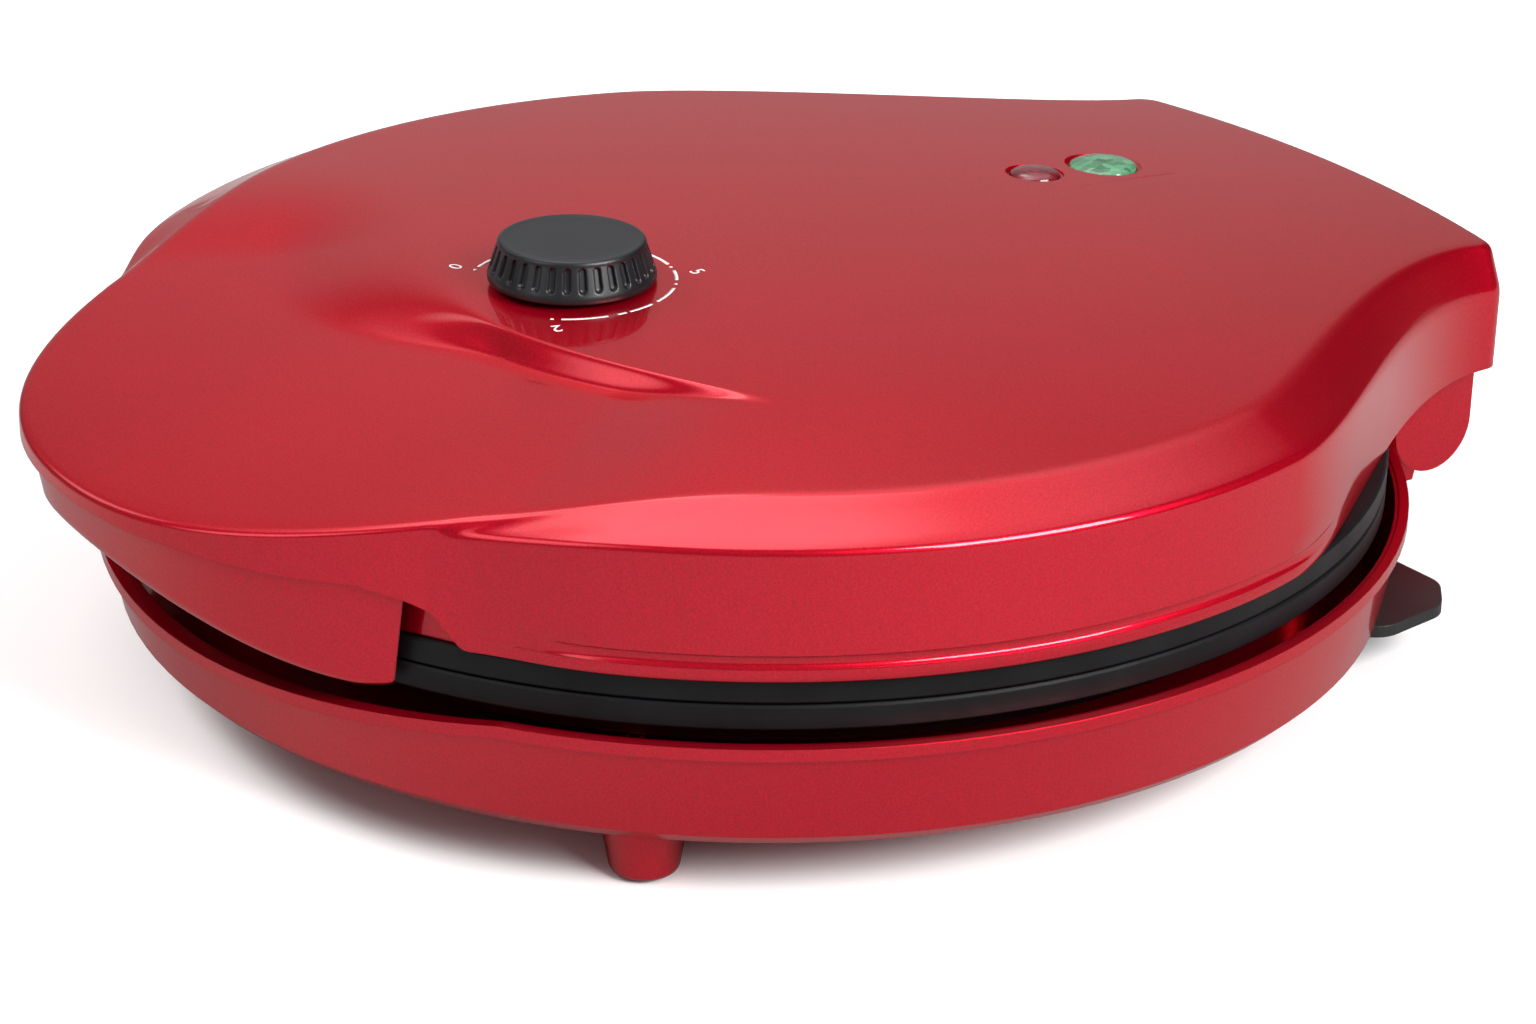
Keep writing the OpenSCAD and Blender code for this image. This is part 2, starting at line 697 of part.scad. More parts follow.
module hinge_pins() color(steel)
    for (side = [-1, 1])
        translate([side * (tower_half_w - 10 - 1), hinge_y, hinge_z])
            rotate([0, side * 90, 0]) cylinder(r = pin_r, h = 21.5);

module upper_plate_screws() color(steel)
    for (p = plate_posts)
        translate([p[0], p[1], frame_flange_z + 4.6]) mirror([0, 0, 1]) screw(3.6, 2.4, 1.6, 8);

module frame_screws() color(steel)
    for (a = frame_screw_angles)
        let (p = polar(frame_screw_r, a))
            translate([p[0], p[1], frame_flange_z - 2]) screw(3, 2, 1.45, 11);

module thermal_fuse() color("white")
    translate([20, 0, frame_flange_z + frame_flange_t + 5]) {
        translate([-10, -4, 0]) cube([20, 8, 1.2]);
        translate([-8, 0, 3.2]) rotate([0, 90, 0]) cylinder(r = 2, h = 16, $fn = 32);
    }

thermostat_z = 78;
module thermostat() color("ivory")
    translate([0, -knob_y, thermostat_z])
        difference() {
            union() {
                translate([-13, -10, 0]) cube([26, 20, 10]);
                cylinder(r = 6, h = 12.5, $fn = 48);
            }
            translate([0, 0, 2]) cylinder(r = shaft_r + 0.05, h = 20, $fn = 48);
        }

// Steel strap from the heat shield that holds the thermostat
module thermostat_bracket() color(steel)
    translate([0, -knob_y, frame_flange_z + frame_flange_t + 5]) {
        translate([-22, -8, 0]) cube([44, 16, 1]);
        for (side = [-1, 1]) translate([side * 14.5 - 0.5, -8, 1]) cube([1, 16, 11]);
    }

// Carrier under the deck for both lamps
module lamp_holder() color("ivory") {
    top = crown([lens_x, green_y]) - wall_t - 3;
    difference() {
        translate([lens_x - 9, red_y - 9, top - 12]) cube([18, green_y - red_y + 18, 12]);
        for (y = [red_y, green_y]) {
            translate([lens_x, y, top - 10]) cylinder(r = 5, h = 20, $fn = 32);
        }
    }
}

module neon_lamps() color([1, 0.5, 0.3])
    for (y = [red_y, green_y])
        translate([lens_x, y, crown([lens_x, green_y]) - wall_t - 3 - 10]) {
            cylinder(r = 3, h = 8, $fn = 32);
            translate([0, 0, 8]) sphere(r = 3, $fn = 32);
        }

// Domed lens with a flange behind the deck
module lens(y, r) {
    z = crown([lens_x, y]);
    dome = 1.6;
    translate([lens_x, y, z - wall_t - 2]) cylinder(r = r + 1.2, h = 1, $fn = 48);
    translate([lens_x, y, z - wall_t - 1])
        rotate_extrude($fn = 48)
            polygon(concat([[0, 0], [r, 0], [r, wall_t + 0.6]],
                [for (i = [1 : 6]) [r * cos(15 * i), wall_t + 0.6 + dome * sin(15 * i)]]));
}

module red_lens() color([0.6, 0, 0.02]) lens(red_y, red_r);
module green_lens() color([0.3, 0.75, 0.4]) lens(green_y, green_r);

// Handle --------------------------------------------------------------------------------

handle_back_r = 161;
// Stations along half of the handle cover's side, matched by as many along its back
stations = 7;

// The handle cover's floor rises towards the tip
function handle_floor_at(y) = let (t = max(0, -y - 145)) handle_floor_z + 0.2 * t + 0.0088 * t * t;
// Joint line between the handle cover and the lid cover, a little higher at the tip
function joint_z(x) = handle_joint_z + 2.4 * (1 - smooth((abs(x) - 34) / 40));

// Outline of the handle cover: its side, d inside the deck's nose, and the arc behind it
function handle_line(d, back) =
    let (t_end = 0.873 - (back + 0.54 * d) / 76.5, n = stations,
        side = [for (i = [0 : n]) beside(nose_curve, t_end * i / n, d)],
        a = atan2(side[n][1], side[n][0]),
        rear = [for (i = [0 : n]) polar(handle_back_r + back, lerp(a - 4, -90, i / n))])
    concat(side, rear, [for (i = [n - 1 : -1 : 0]) [-rear[i][0], rear[i][1]]],
        [for (i = [n : -1 : 1]) [-side[i][0], side[i][1]]]);

// Tapered tub with a lower edge cut back, its rings 4 * stations + 2 points long
module handle_tub(d, back, rise, drop) {
    n = 4 * stations + 2;
    rings = [
        [for (p = handle_line(d, back)) at_height(p, joint_z(p[0]) + rise)],
        [for (p = handle_line(d + handle_draft - 0.8, back + 0.4))
            at_height(p, handle_floor_at(p[1]) + drop + 2.2)],
        [for (p = handle_line(d + handle_draft + 1, back + 1.8))
            at_height(p, handle_floor_at(p[1]) + drop)]];
    points = concat([for (r = rings) each r]);
    // Strips that join the side's stations to the back's
    right = [for (i = [0 : stations - 1])
        [i, i + 1, 2 * stations - i, 2 * stations + 1 - i]];
    left = [for (q = right) [for (k = [3 : -1 : 0]) (n - q[k]) % n]];
    strips = concat(right, left);
    polyhedron(points, concat(
        [for (q = strips) [q[2], q[1], q[0]]],
        [for (q = strips) [q[3], q[2], q[0]]],
        [for (j = [0 : 1], i = [0 : n - 1]) [j * n + i, j * n + (i + 1) % n, (j + 1) * n + i]],
        [for (j = [0 : 1], i = [0 : n - 1])
            [j * n + (i + 1) % n, (j + 1) * n + (i + 1) % n, (j + 1) * n + i]],
        [for (q = strips) [2 * n + q[0], 2 * n + q[1], 2 * n + q[2]]],
        [for (q = strips) [2 * n + q[0], 2 * n + q[2], 2 * n + q[3]]]), convexity = 6);
}

module handle_cover() color(body_red)
    difference() {
        handle_tub(1.2, 0, -0.2, 0);
        difference() {
            handle_tub(1.2 + wall_t, wall_t, 5, wall_t);
            for (p = handle_screw_at)
                translate([p[0], p[1], handle_floor_z])
                    cylinder(r = 5, h = handle_floor_at(p[1]) - handle_floor_z + screw_pad_h + 2, $fn = 24);
        }
        for (p = handle_screw_at)
            translate([p[0], p[1], 0]) {
                cylinder(r = 3.4, h = handle_floor_at(p[1]) + screw_pad_h - wall_t, $fn = 24);
                cylinder(r = 1.8, h = handle_floor_at(p[1]) + 20, $fn = 24);
                translate([0, 0, handle_floor_at(p[1]) + screw_pad_h]) cylinder(r = 5.3, h = 20, $fn = 24);
            }
    }

// The heads sit in wells under the handle
module handle_screws() color(steel)
    for (p = handle_screw_at)
        translate([p[0], p[1], handle_floor_at(p[1]) + screw_pad_h - wall_t - 2]) screw(3, 2, 1.45, 11);

// Knob ----------------------------------------------------------------------------------

knob_z = crown([0, -knob_y]) + 0.8;

module control_shaft() color(steel)
    translate([0, -knob_y, thermostat_z + 2.2])
        difference() {
            cylinder(r = shaft_r, h = knob_z + 6.4 - thermostat_z - 2.2, $fn = 48);
            translate([shaft_r - 0.8, -5, 13]) cube([5, 10, 20]);
        }

module knob() color(black)
    translate([0, -knob_y, knob_z])
        difference() {
            union() {
                rotate_extrude($fn = 72)
                    polygon([[knob_r - 2.2, 0], [knob_r - 0.3, 0], [knob_r, 0.5],
                        [knob_r - 0.1, 1.9], [knob_top_r + 0.5, knob_h - 1.2],
                        [knob_top_r, knob_h - 0.4], [knob_top_r - 0.8, knob_h], [0, knob_h],
                        [0, knob_h - 2], [knob_top_r - 1.8, knob_h - 2]]);
                cylinder(r = 5.5, h = knob_h - 1, $fn = 48);
            }
            for (i = [0 : knob_slots - 1])
                rotate([0, 0, i * 360 / knob_slots])
                    translate([knob_r - 0.4, 0, 2.2])
                        rotate([0, -atan((knob_r - knob_top_r) / knob_h), 0])
                            translate([0, -knob_slot_w / 2, 0]) cube([1.8, knob_slot_w, 2 * knob_h - 12.8]);
            intersection() {
                translate([0, 0, -1]) cylinder(r = shaft_r + 0.02, h = 7.4 + 0.05, $fn = 48);
                translate([-5, -5, -2]) cube([5 + shaft_r - 0.78, 10, 12]);
            }
        }

base_shell();
foot_pads();
cord_wrap_tabs();
wrap_screws();
cord_gland();
terminal_block();
lower_heat_shield();
lower_element();
lower_plate();
lower_plate_screws();
hinge_pins();
lid_frame();
upper_plate();
upper_plate_screws();
upper_element();
upper_heat_shield();
thermal_fuse();
thermostat();
thermostat_bracket();
lamp_holder();
neon_lamps();
red_lens();
green_lens();
lid_cover();
frame_screws();
handle_cover();
handle_screws();
control_shaft();
knob();
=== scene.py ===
"""Looks of an electric pizza maker, built around its packed construction model."""

import logging
import math
from collections.abc import Callable, Iterable, Sequence
from dataclasses import dataclass, field
from enum import Enum

import bmesh
import bpy
from mathutils import Matrix, Vector


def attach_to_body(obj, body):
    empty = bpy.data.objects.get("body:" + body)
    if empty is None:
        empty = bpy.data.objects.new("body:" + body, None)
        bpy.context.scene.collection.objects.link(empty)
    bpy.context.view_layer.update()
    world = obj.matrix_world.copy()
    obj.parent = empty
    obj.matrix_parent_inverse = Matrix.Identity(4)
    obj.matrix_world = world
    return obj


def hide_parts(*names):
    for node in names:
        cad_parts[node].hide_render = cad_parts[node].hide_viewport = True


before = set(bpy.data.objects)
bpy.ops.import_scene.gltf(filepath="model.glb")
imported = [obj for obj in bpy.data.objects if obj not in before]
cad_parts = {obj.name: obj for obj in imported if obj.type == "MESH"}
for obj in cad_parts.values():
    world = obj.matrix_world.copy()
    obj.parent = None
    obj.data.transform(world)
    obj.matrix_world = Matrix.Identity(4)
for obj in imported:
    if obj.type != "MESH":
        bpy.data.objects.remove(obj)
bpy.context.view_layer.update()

log = logging.getLogger("pizza_maker")

MM = 0.001
# points of a mesh that lie nearer than this, in metres, are one point
MERGE_M = 2e-6
# an edge that turns by more than this many degrees looks crisp
CRISP_DEGREES = 32.0
# the dial's axis stands at x = 0 and at this y, in millimetres
DIAL_Y = -51.4
Vec2 = tuple[float, float]
Vec3 = tuple[float, float, float]
Colour = tuple[float, float, float, float]


class Body(Enum):
    """Rigid groups of the construction model that a piece of this file rides on."""

    LID = "lid"
    DIAL = "dial"


class Slot(Enum):
    """Material slots of the construction model's record, which each piece of this file names."""

    RED_HOUSING = "red_housing"
    BLACK_KNOB = "black_knob"


# ---------------------------------------------------------------- small helpers


def clamp01(v: float) -> float:
    """Return v held between 0 and 1."""
    return min(1.0, max(0.0, v))


def smooth(v: float) -> float:
    """Return the smooth step from 0 to 1 of v."""
    v = clamp01(v)
    return v * v * (3 - 2 * v)


def lerp(a: float, b: float, t: float) -> float:
    """Return the value a share t of the way from a to b."""
    return a + (b - a) * t


def polar(r: float, degrees: float) -> Vec2:
    """Return the point at radius r and an angle from +X."""
    a = math.radians(degrees)
    return r * math.cos(a), r * math.sin(a)


def add(a: Vec2, b: Vec2, share: float = 1.0) -> Vec2:
    """Return a plus a share of b."""
    return a[0] + share * b[0], a[1] + share * b[1]


def unit(p: Vec2) -> Vec2:
    """Return p at length 1."""
    r = math.hypot(p[0], p[1]) or 1.0
    return p[0] / r, p[1] / r


def bezier(p: Sequence[Vec2], t: float) -> Vec2:
    """Return the point at t on a cubic curve with four control points."""
    w = ((1 - t) ** 3, 3 * t * (1 - t) ** 2, 3 * t * t * (1 - t), t**3)
    return sum(w[i] * p[i][0] for i in range(4)), sum(w[i] * p[i][1] for i in range(4))


def curve(p: Sequence[Vec2], n: int) -> list[Vec2]:
    """Return n points along a cubic curve, without its last one."""
    return [bezier(p, i / n) for i in range(n)]


def arc(r: float, a0: float, a1: float, n: int, centre: Vec2 = (0.0, 0.0)) -> list[Vec2]:
    """Return n points along an arc, without its last one."""
    return [add(centre, polar(r, lerp(a0, a1, i / n))) for i in range(n)]


def both_sides(half: Sequence[Vec2]) -> list[Vec2]:
    """Return the closed outline of which half is the right side, front to back."""
    return list(half) + [(-p[0], p[1]) for p in reversed(half[1:-1])]


# ---------------------------------------------------------------- materials


def linear(hex_colour: str, alpha: float = 1.0) -> Colour:
    """Turn an sRGB hex colour into linear light.

    Args:
        hex_colour: Colour such as "#a01020".
        alpha: Opacity that goes with it.

    Returns:
        Linear red, green and blue, and the opacity.
    """
    values = [int(hex_colour[i : i + 2], 16) / 255 for i in (1, 3, 5)]
    r, g, b = (v / 12.92 if v <= 0.04045 else ((v + 0.055) / 1.055) ** 2.4 for v in values)
    return r, g, b, alpha


def add_node(
    tree: bpy.types.NodeTree, kind: str, settings: dict | None = None, inputs: dict | None = None
) -> bpy.types.Node:
    """Add a shader node.

    Args:
        tree: Node tree that takes the node.
        kind: Blender's type name of the node.
        settings: Properties to set on the node.
        inputs: Values or output sockets for its inputs, by socket name or number.

    Returns:
        The new node.
    """
    node = tree.nodes.new(kind)
    for name, value in (settings or {}).items():
        setattr(node, name, value)
    for name, value in (inputs or {}).items():
        if isinstance(value, bpy.types.NodeSocket):
            tree.links.new(value, node.inputs[name])
        else:
            node.inputs[name].default_value = value
    return node


class Finish:
    """Shared start of every finish: a named material with one surface shader."""

    name: str
    edge_mm: float = 0.5

    def shader(self, settings: dict) -> tuple[bpy.types.Material, bpy.types.NodeTree, bpy.types.Node]:
        """Start a material.

        Args:
            settings: Values of the surface shader's own sockets.

        Returns:
            The material, its node tree and its surface shader.
        """
        material = bpy.data.materials.new(self.name)
        material.use_nodes = True
        tree = material.node_tree
        surface = tree.nodes["Principled BSDF"]
        for key, value in settings.items():
            surface.inputs[key].default_value = value
        return material, tree, surface

    def place(self, tree: bpy.types.NodeTree) -> bpy.types.NodeSocket:
        """Return the surface's place in metres, which every pattern is drawn on."""
        return add_node(tree, "ShaderNodeTexCoord").outputs["Object"]

    def noise(self, tree: bpy.types.NodeTree, size_mm: float, detail: float = 2.0) -> bpy.types.NodeSocket:
        """Add a noise pattern.

        Args:
            tree: The material's node tree.
            size_mm: How large a grain is.
            detail: How much finer noise lies in each grain.

        Returns:
            The pattern's level, around 0.5.
        """
        return add_node(
            tree,
            "ShaderNodeTexNoise",
            inputs={"Vector": self.place(tree), "Scale": 1 / (size_mm * MM), "Detail": detail},
        ).outputs["Fac"]

    def spread(
        self, tree: bpy.types.NodeTree, value: bpy.types.NodeSocket, low: float, high: float,
        span: tuple[float, float] = (0.3, 0.7),
    ) -> bpy.types.NodeSocket:
        """Stretch a pattern's level to a range.

        Args:
            tree: The material's node tree.
            value: The pattern's level.
            low: Result at the start of the span.
            high: Result at its end.
            span: Part of the pattern's levels that is stretched.

        Returns:
            The level, from low to high.
        """
        return add_node(
            tree,
            "ShaderNodeMapRange",
            inputs={"Value": value, "From Min": span[0], "From Max": span[1], "To Min": low, "To Max": high},
        ).outputs["Result"]

    def mixed(
        self, tree: bpy.types.NodeTree, share: bpy.types.NodeSocket, a: Colour, b: Colour
    ) -> bpy.types.NodeSocket:
        """Return a colour between a and b."""
        mix = add_node(tree, "ShaderNodeMix", {"data_type": "RGBA"}, {0: share, 6: a, 7: b})
        return mix.outputs[2]

    def bump(
        self, tree: bpy.types.NodeTree, height: bpy.types.NodeSocket, depth_mm: float
    ) -> bpy.types.NodeSocket:
        """Bend the surface's normal by a pattern, over edges rounded as a moulded part's are.

        Args:
            tree: The material's node tree.
            height: The pattern's level.
            depth_mm: How deep the pattern is.

        Returns:
            The bent normal.
        """
        radius = self.edge_mm * MM
        edge = add_node(tree, "ShaderNodeBevel", {"samples": 4}, {"Radius": radius}).outputs["Normal"]
        return add_node(
            tree,
            "ShaderNodeBump",
            inputs={"Strength": 1.0, "Distance": depth_mm * MM, "Height": height, "Normal": edge},
        ).outputs["Normal"]


@dataclass(frozen=True)
class MetallicLacquer(Finish):
    """Moulded housing, sprayed with a candy red metallic base and a clear coat.

    The flakes give the red its fine sparkle and its bright, pinkish highlights on every
    edge; the clear coat over them stays smooth and mirrors the knob.
    """

    name: str = "candy_red_metallic_lacquer"
    deep: str = "#b0021a"
    bright: str = "#da0a2c"
    # tint of what the flakes mirror at a glancing angle
    edge: str = "#ff7a80"
    # real flake is about 0.05 mm; drawn coarser so that it shows
    flake_mm: float = 0.45
    flake_depth_mm: float = 0.012
    cloud_mm: float = 60.0
    metallic: float = 0.72
    roughness: float = 0.33
    uneven: float = 0.03
    coat: float = 0.85
    coat_roughness: float = 0.06

    def material(self) -> bpy.types.Material:
        """Build the material.

        Returns:
            The finished material.
        """
        material, tree, surface = self.shader(
            {
                "Metallic": self.metallic,
                "IOR": 1.5,
                "Specular Tint": linear(self.edge),
                "Coat Weight": self.coat,
                "Coat Roughness": self.coat_roughness,
                "Coat IOR": 1.5,
            }
        )
        flake = self.noise(tree, self.flake_mm, 3.0)
        cloud = self.noise(tree, self.cloud_mm)
        grain = self.mixed(
            tree, self.spread(tree, flake, 0.0, 1.0, (0.25, 0.75)), linear(self.deep), linear(self.bright)
        )
        tree.links.new(grain, surface.inputs["Base Color"])
        tree.links.new(
            self.spread(tree, cloud, self.roughness - self.uneven, self.roughness + self.uneven),
            surface.inputs["Roughness"],
        )
        tree.links.new(self.bump(tree, flake, self.flake_depth_mm), surface.inputs["Normal"])
        return material


@dataclass(frozen=True)
class NonStickCoating(Finish):
    """Die-cast aluminium, blasted and sprayed with a black non-stick coat.

    The coat is a soft satin black with a fine orange-peel grain and paler rub marks.
    """

    name: str = "black_non_stick_cast_aluminium"
    dark: str = "#08080a"
    pale: str = "#141517"
    grain_mm: float = 0.6
    grain_depth_mm: float = 0.02
    rub_mm: float = 22.0
    roughness: float = 0.5
    rubbed_roughness: float = 0.36
    specular: float = 0.3

    def material(self) -> bpy.types.Material:
        """Build the material.

        Returns:
            The finished material.
        """
        material, tree, surface = self.shader({"IOR": 1.4, "Specular IOR Level": self.specular})
        rub = self.noise(tree, self.rub_mm, 5.0)
        grain = self.noise(tree, self.grain_mm)
        tree.links.new(
            self.mixed(tree, self.spread(tree, rub, 0.0, 1.0), linear(self.dark), linear(self.pale)),
            surface.inputs["Base Color"],
        )
        tree.links.new(
            self.spread(tree, rub, self.roughness, self.rubbed_roughness), surface.inputs["Roughness"]
        )
        tree.links.new(self.bump(tree, grain, self.grain_depth_mm), surface.inputs["Normal"])
        return material


@dataclass(frozen=True)
class MouldedPlastic(Finish):
    """Injection moulding straight from a spark-eroded tool, with its fine even grain."""

    name: str = "moulded_plastic"
    dark: str = "#161719"
    pale: str = "#202124"
    roughness: float = 0.42
    grain_mm: float = 0.5
    grain_depth_mm: float = 0.012
    specular: float = 0.5
    uneven: float = 0.04
    # faint clouds are this many grains across
    cloud_grains: float = 40.0

    def material(self) -> bpy.types.Material:
        """Build the material.

        Returns:
            The finished material.
        """
        material, tree, surface = self.shader({"IOR": 1.5, "Specular IOR Level": self.specular})
        grain = self.noise(tree, self.grain_mm)
        cloud = self.noise(tree, self.cloud_grains * self.grain_mm)
        tree.links.new(
            self.mixed(tree, self.spread(tree, cloud, 0.0, 1.0), linear(self.dark), linear(self.pale)),
            surface.inputs["Base Color"],
        )
        tree.links.new(
            self.spread(tree, cloud, self.roughness - self.uneven, self.roughness + self.uneven),
            surface.inputs["Roughness"],
        )
        tree.links.new(self.bump(tree, grain, self.grain_depth_mm), surface.inputs["Normal"])
        return material


@dataclass(frozen=True)
class SheetMetal(Finish):
    """Rolled or plated metal: fine drawn lines one way and a faint stain over them."""

    name: str = "aluminised_steel_sheet"
    dark: str = "#8f9194"
    pale: str = "#b9babb"
    roughness: float = 0.36
    line_mm: float = 0.3
    # a drawn line is this many times longer than it is wide
    line_run: float = 40.0
    stain_mm: float = 18.0
    uneven: float = 0.08
    metallic: float = 1.0

    def material(self) -> bpy.types.Material:
        """Build the material.

        Returns:
            The finished material.
        """
        material, tree, surface = self.shader({"Metallic": self.metallic})
        stretched = add_node(
            tree,
            "ShaderNodeMapping",
            inputs={"Vector": self.place(tree), "Scale": (1 / self.line_run, 1.0, 1.0)},
        )
        lines = add_node(
            tree,
            "ShaderNodeTexNoise",
            inputs={"Vector": stretched.outputs["Vector"], "Scale": 1 / (self.line_mm * MM)},
        ).outputs["Fac"]
        stain = self.noise(tree, self.stain_mm, 4.0)
        tree.links.new(
            self.mixed(tree, self.spread(tree, stain, 0.0, 1.0), linear(self.dark), linear(self.pale)),
            surface.inputs["Base Color"],
        )
        tree.links.new(
            self.spread(tree, lines, self.roughness - self.uneven, self.roughness + self.uneven),
            surface.inputs["Roughness"],
        )
        return material


@dataclass(frozen=True)
class JewelLens(Finish):
    """Dyed polycarbonate lens with prisms moulded behind it, which break up the light."""

    name: str
    deep: str
    pale: str
    prism_mm: float = 2.4
    prism_depth_mm: float = 0.12

    def material(self) -> bpy.types.Material:
        """Build the material.

        Returns:
            The finished material.
        """
        material, tree, surface = self.shader(
            {
                "IOR": 1.58,
                "Roughness": 0.2,
                "Specular IOR Level": 0.4,
                "Coat Weight": 0.6,
                "Coat Roughness": 0.05,
            }
        )
        cells = add_node(
            tree,
            "ShaderNodeTexVoronoi",
            inputs={"Vector": self.place(tree), "Scale": 1 / (self.prism_mm * MM)},
        )
        shade = self.spread(tree, cells.outputs["Color"], 0.0, 1.0, (0.1, 0.9))
        tree.links.new(
            self.mixed(tree, shade, linear(self.deep), linear(self.pale)), surface.inputs["Base Color"]
        )
        tree.links.new(
            self.bump(tree, cells.outputs["Distance"], self.prism_depth_mm), surface.inputs["Normal"]
        )
        return material


@dataclass(frozen=True)
class PrintInk(Finish):
    """Pad-printed white ink: opaque, thin and a little uneven."""

    name: str = "white_pad_print_ink"
    thin: str = "#d9d4d4"
    full: str = "#f4f1f0"
    patch_mm: float = 0.6

    def material(self) -> bpy.types.Material:
        """Build the material.

        Returns:
            The finished material.
        """
        material, tree, surface = self.shader({"Roughness": 0.45})
        patch = self.noise(tree, self.patch_mm, 4.0)
        tree.links.new(
            self.mixed(tree, self.spread(tree, patch, 0.0, 1.0), linear(self.thin), linear(self.full)),
            surface.inputs["Base Color"],
        )
        return material


class Palette:
    """Every finish of the cooker, each built once."""

    def __init__(self) -> None:
        """Build the materials."""
        self.red = MetallicLacquer().material()
        self.non_stick = NonStickCoating().material()
        # compression moulded in a polished tool: a smooth satin that still shows its edges
        self.knob = MouldedPlastic("satin_black_phenolic", "#121316", "#1a1b1e", 0.34, 0.5, 0.008).material()
        # injection moulded with a coarser grain: a dull black
        self.black = MouldedPlastic("textured_black_nylon", "#151617", "#1d1e1f", 0.45, 0.8).material()
        # moulded soft: matt, with hardly any glint
        self.rubber = MouldedPlastic(
            "matt_black_silicone_rubber", "#101010", "#181818", 0.75, 1.0, 0.02, 0.2
        ).material()
        # pressed and fired: a warm off-white with a dry surface
        self.ivory = MouldedPlastic("ivory_steatite", "#cfc4ab", "#ddd4be", 0.5, 0.7).material()
        # cold formed and plated: a cool, fairly bright grey
        self.steel = SheetMetal("zinc_plated_steel", "#8b8f93", "#b4b8bb", 0.3).material()
        self.sheet = SheetMetal().material()
        # swaged steel tube, browned by its own heat
        self.heater = SheetMetal("oxidised_heater_sheath", "#3a3431", "#5b514a", 0.5).material()
        self.red_lens = JewelLens("dyed_red_polycarbonate", "#48060f", "#74141f").material()
        self.green_lens = JewelLens("dyed_green_polycarbonate", "#275639", "#5d9871").material()
        self.lamp = JewelLens("orange_neon_glass", "#c8743c", "#e8a878").material()
        self.ink = PrintInk().material()


# ---------------------------------------------------------------- mesh building


class MeshBuilder:
    """Collects rings of points, in millimetres, and joins them into one mesh."""

    def __init__(self) -> None:
        """Start an empty mesh."""
        self.mesh = bmesh.new()

    def ring(self, points: Iterable[Vec3]) -> list[bmesh.types.BMVert]:
        """Add a ring's points."""
        return [self.mesh.verts.new((x * MM, y * MM, z * MM)) for x, y, z in points]

    def strip(
        self, a: Sequence[bmesh.types.BMVert], b: Sequence[bmesh.types.BMVert], closed: bool = True
    ) -> None:
        """Join two rings of the same length with quads.

        Args:
            a: Vertices of the first ring.
            b: Vertices of the second ring.
            closed: Whether the last points are joined to the first.
        """
        n = len(a)
        for i in range(n if closed else n - 1):
            j = (i + 1) % n
            corners = list(dict.fromkeys((a[i], b[i], b[j], a[j])))
            if len(corners) > 2:
                self.mesh.faces.new(corners)

    def stack(self, rings: Iterable[Iterable[Vec3]]) -> list[list[bmesh.types.BMVert]]:
        """Add rings and join each to the next.

        Args:
            rings: Rings of points, from the top or the middle outwards.

        Returns:
            The vertices of every ring.
        """
        made: list[list[bmesh.types.BMVert]] = []
        for points in rings:
            placed = [Vector(p) * MM for p in points]
            if made:
                above = made[-1]
                ring = [
                    v if (v.co - p).length < MERGE_M else self.mesh.verts.new(p)
                    for v, p in zip(above, placed)
                ]
                self.strip(above, ring)
            else:
                ring = [self.mesh.verts.new(p) for p in placed]
            made.append(ring)
        return made

    def fan(self, centre: Vec3, ring: Sequence[bmesh.types.BMVert]) -> None:
        """Close a ring with triangles.

        Args:
            centre: Point that the triangles meet in.
            ring: Vertices of the ring.
        """
        middle = self.ring([centre])[0]
        for i, v in enumerate(ring):
            self.mesh.faces.new((middle, v, ring[(i + 1) % len(ring)]))

    def finish(
        self, name: str, material: bpy.types.Material, sharp: float = CRISP_DEGREES, closed: bool = True
    ) -> bpy.types.Object:
        """Turn the rings into an object.

        Args:
            name: Name of the object.
            material: Its material.
            sharp: Edges that turn by more than this many degrees look sharp.
            closed: Whether the mesh is closed, so that its outside can be told by itself.

        Returns:
            The new object.
        """
        if closed:
            bmesh.ops.remove_doubles(self.mesh, verts=self.mesh.verts, dist=MERGE_M)
            bmesh.ops.recalc_face_normals(self.mesh, faces=self.mesh.faces)
        data = bpy.data.meshes.new(name)
        self.mesh.to_mesh(data)
        self.mesh.free()
        data.materials.append(material)
        made = bpy.data.objects.new(name, data)
        bpy.context.scene.collection.objects.link(made)
        shade(made, sharp)
        return made


def shade(made: bpy.types.Object, sharp: float = CRISP_DEGREES) -> None:
    """Shade an object smooth, with edges sharper than an angle left crisp."""
    made.data.shade_smooth()
    made.data.set_sharp_from_angle(angle=math.radians(sharp))


def apply_modifiers(made: bpy.types.Object) -> None:
    """Turn an object's modifiers into its mesh.

    Args:
        made: The object.
    """
    graph = bpy.context.evaluated_depsgraph_get()
    data = bpy.data.meshes.new_from_object(made.evaluated_get(graph))
    made.modifiers.clear()
    old = made.data
    made.data = data
    bpy.data.meshes.remove(old)


def thicken(made: bpy.types.Object, thickness_mm: float) -> None:
    """Give an open skin a wall behind it.

    Args:
        made: The skin.
        thickness_mm: Thickness of the wall; a negative one lies in front.
    """
    wall = made.modifiers.new("wall", "SOLIDIFY")
    wall.thickness = thickness_mm * MM
    wall.offset = -1.0
    wall.use_even_offset = False
    apply_modifiers(made)


def cut(made: bpy.types.Object, cutters: Sequence[bpy.types.Object]) -> None:
    """Cut solids out of an object and throw the cutters away.

    Args:
        made: The object that is cut.
        cutters: The solids.
    """
    for cutter in cutters:
        hole = made.modifiers.new("hole", "BOOLEAN")
        hole.operation = "DIFFERENCE"
        hole.solver = "EXACT"
        hole.object = cutter
    apply_modifiers(made)
    for cutter in cutters:
        bpy.data.objects.remove(cutter)


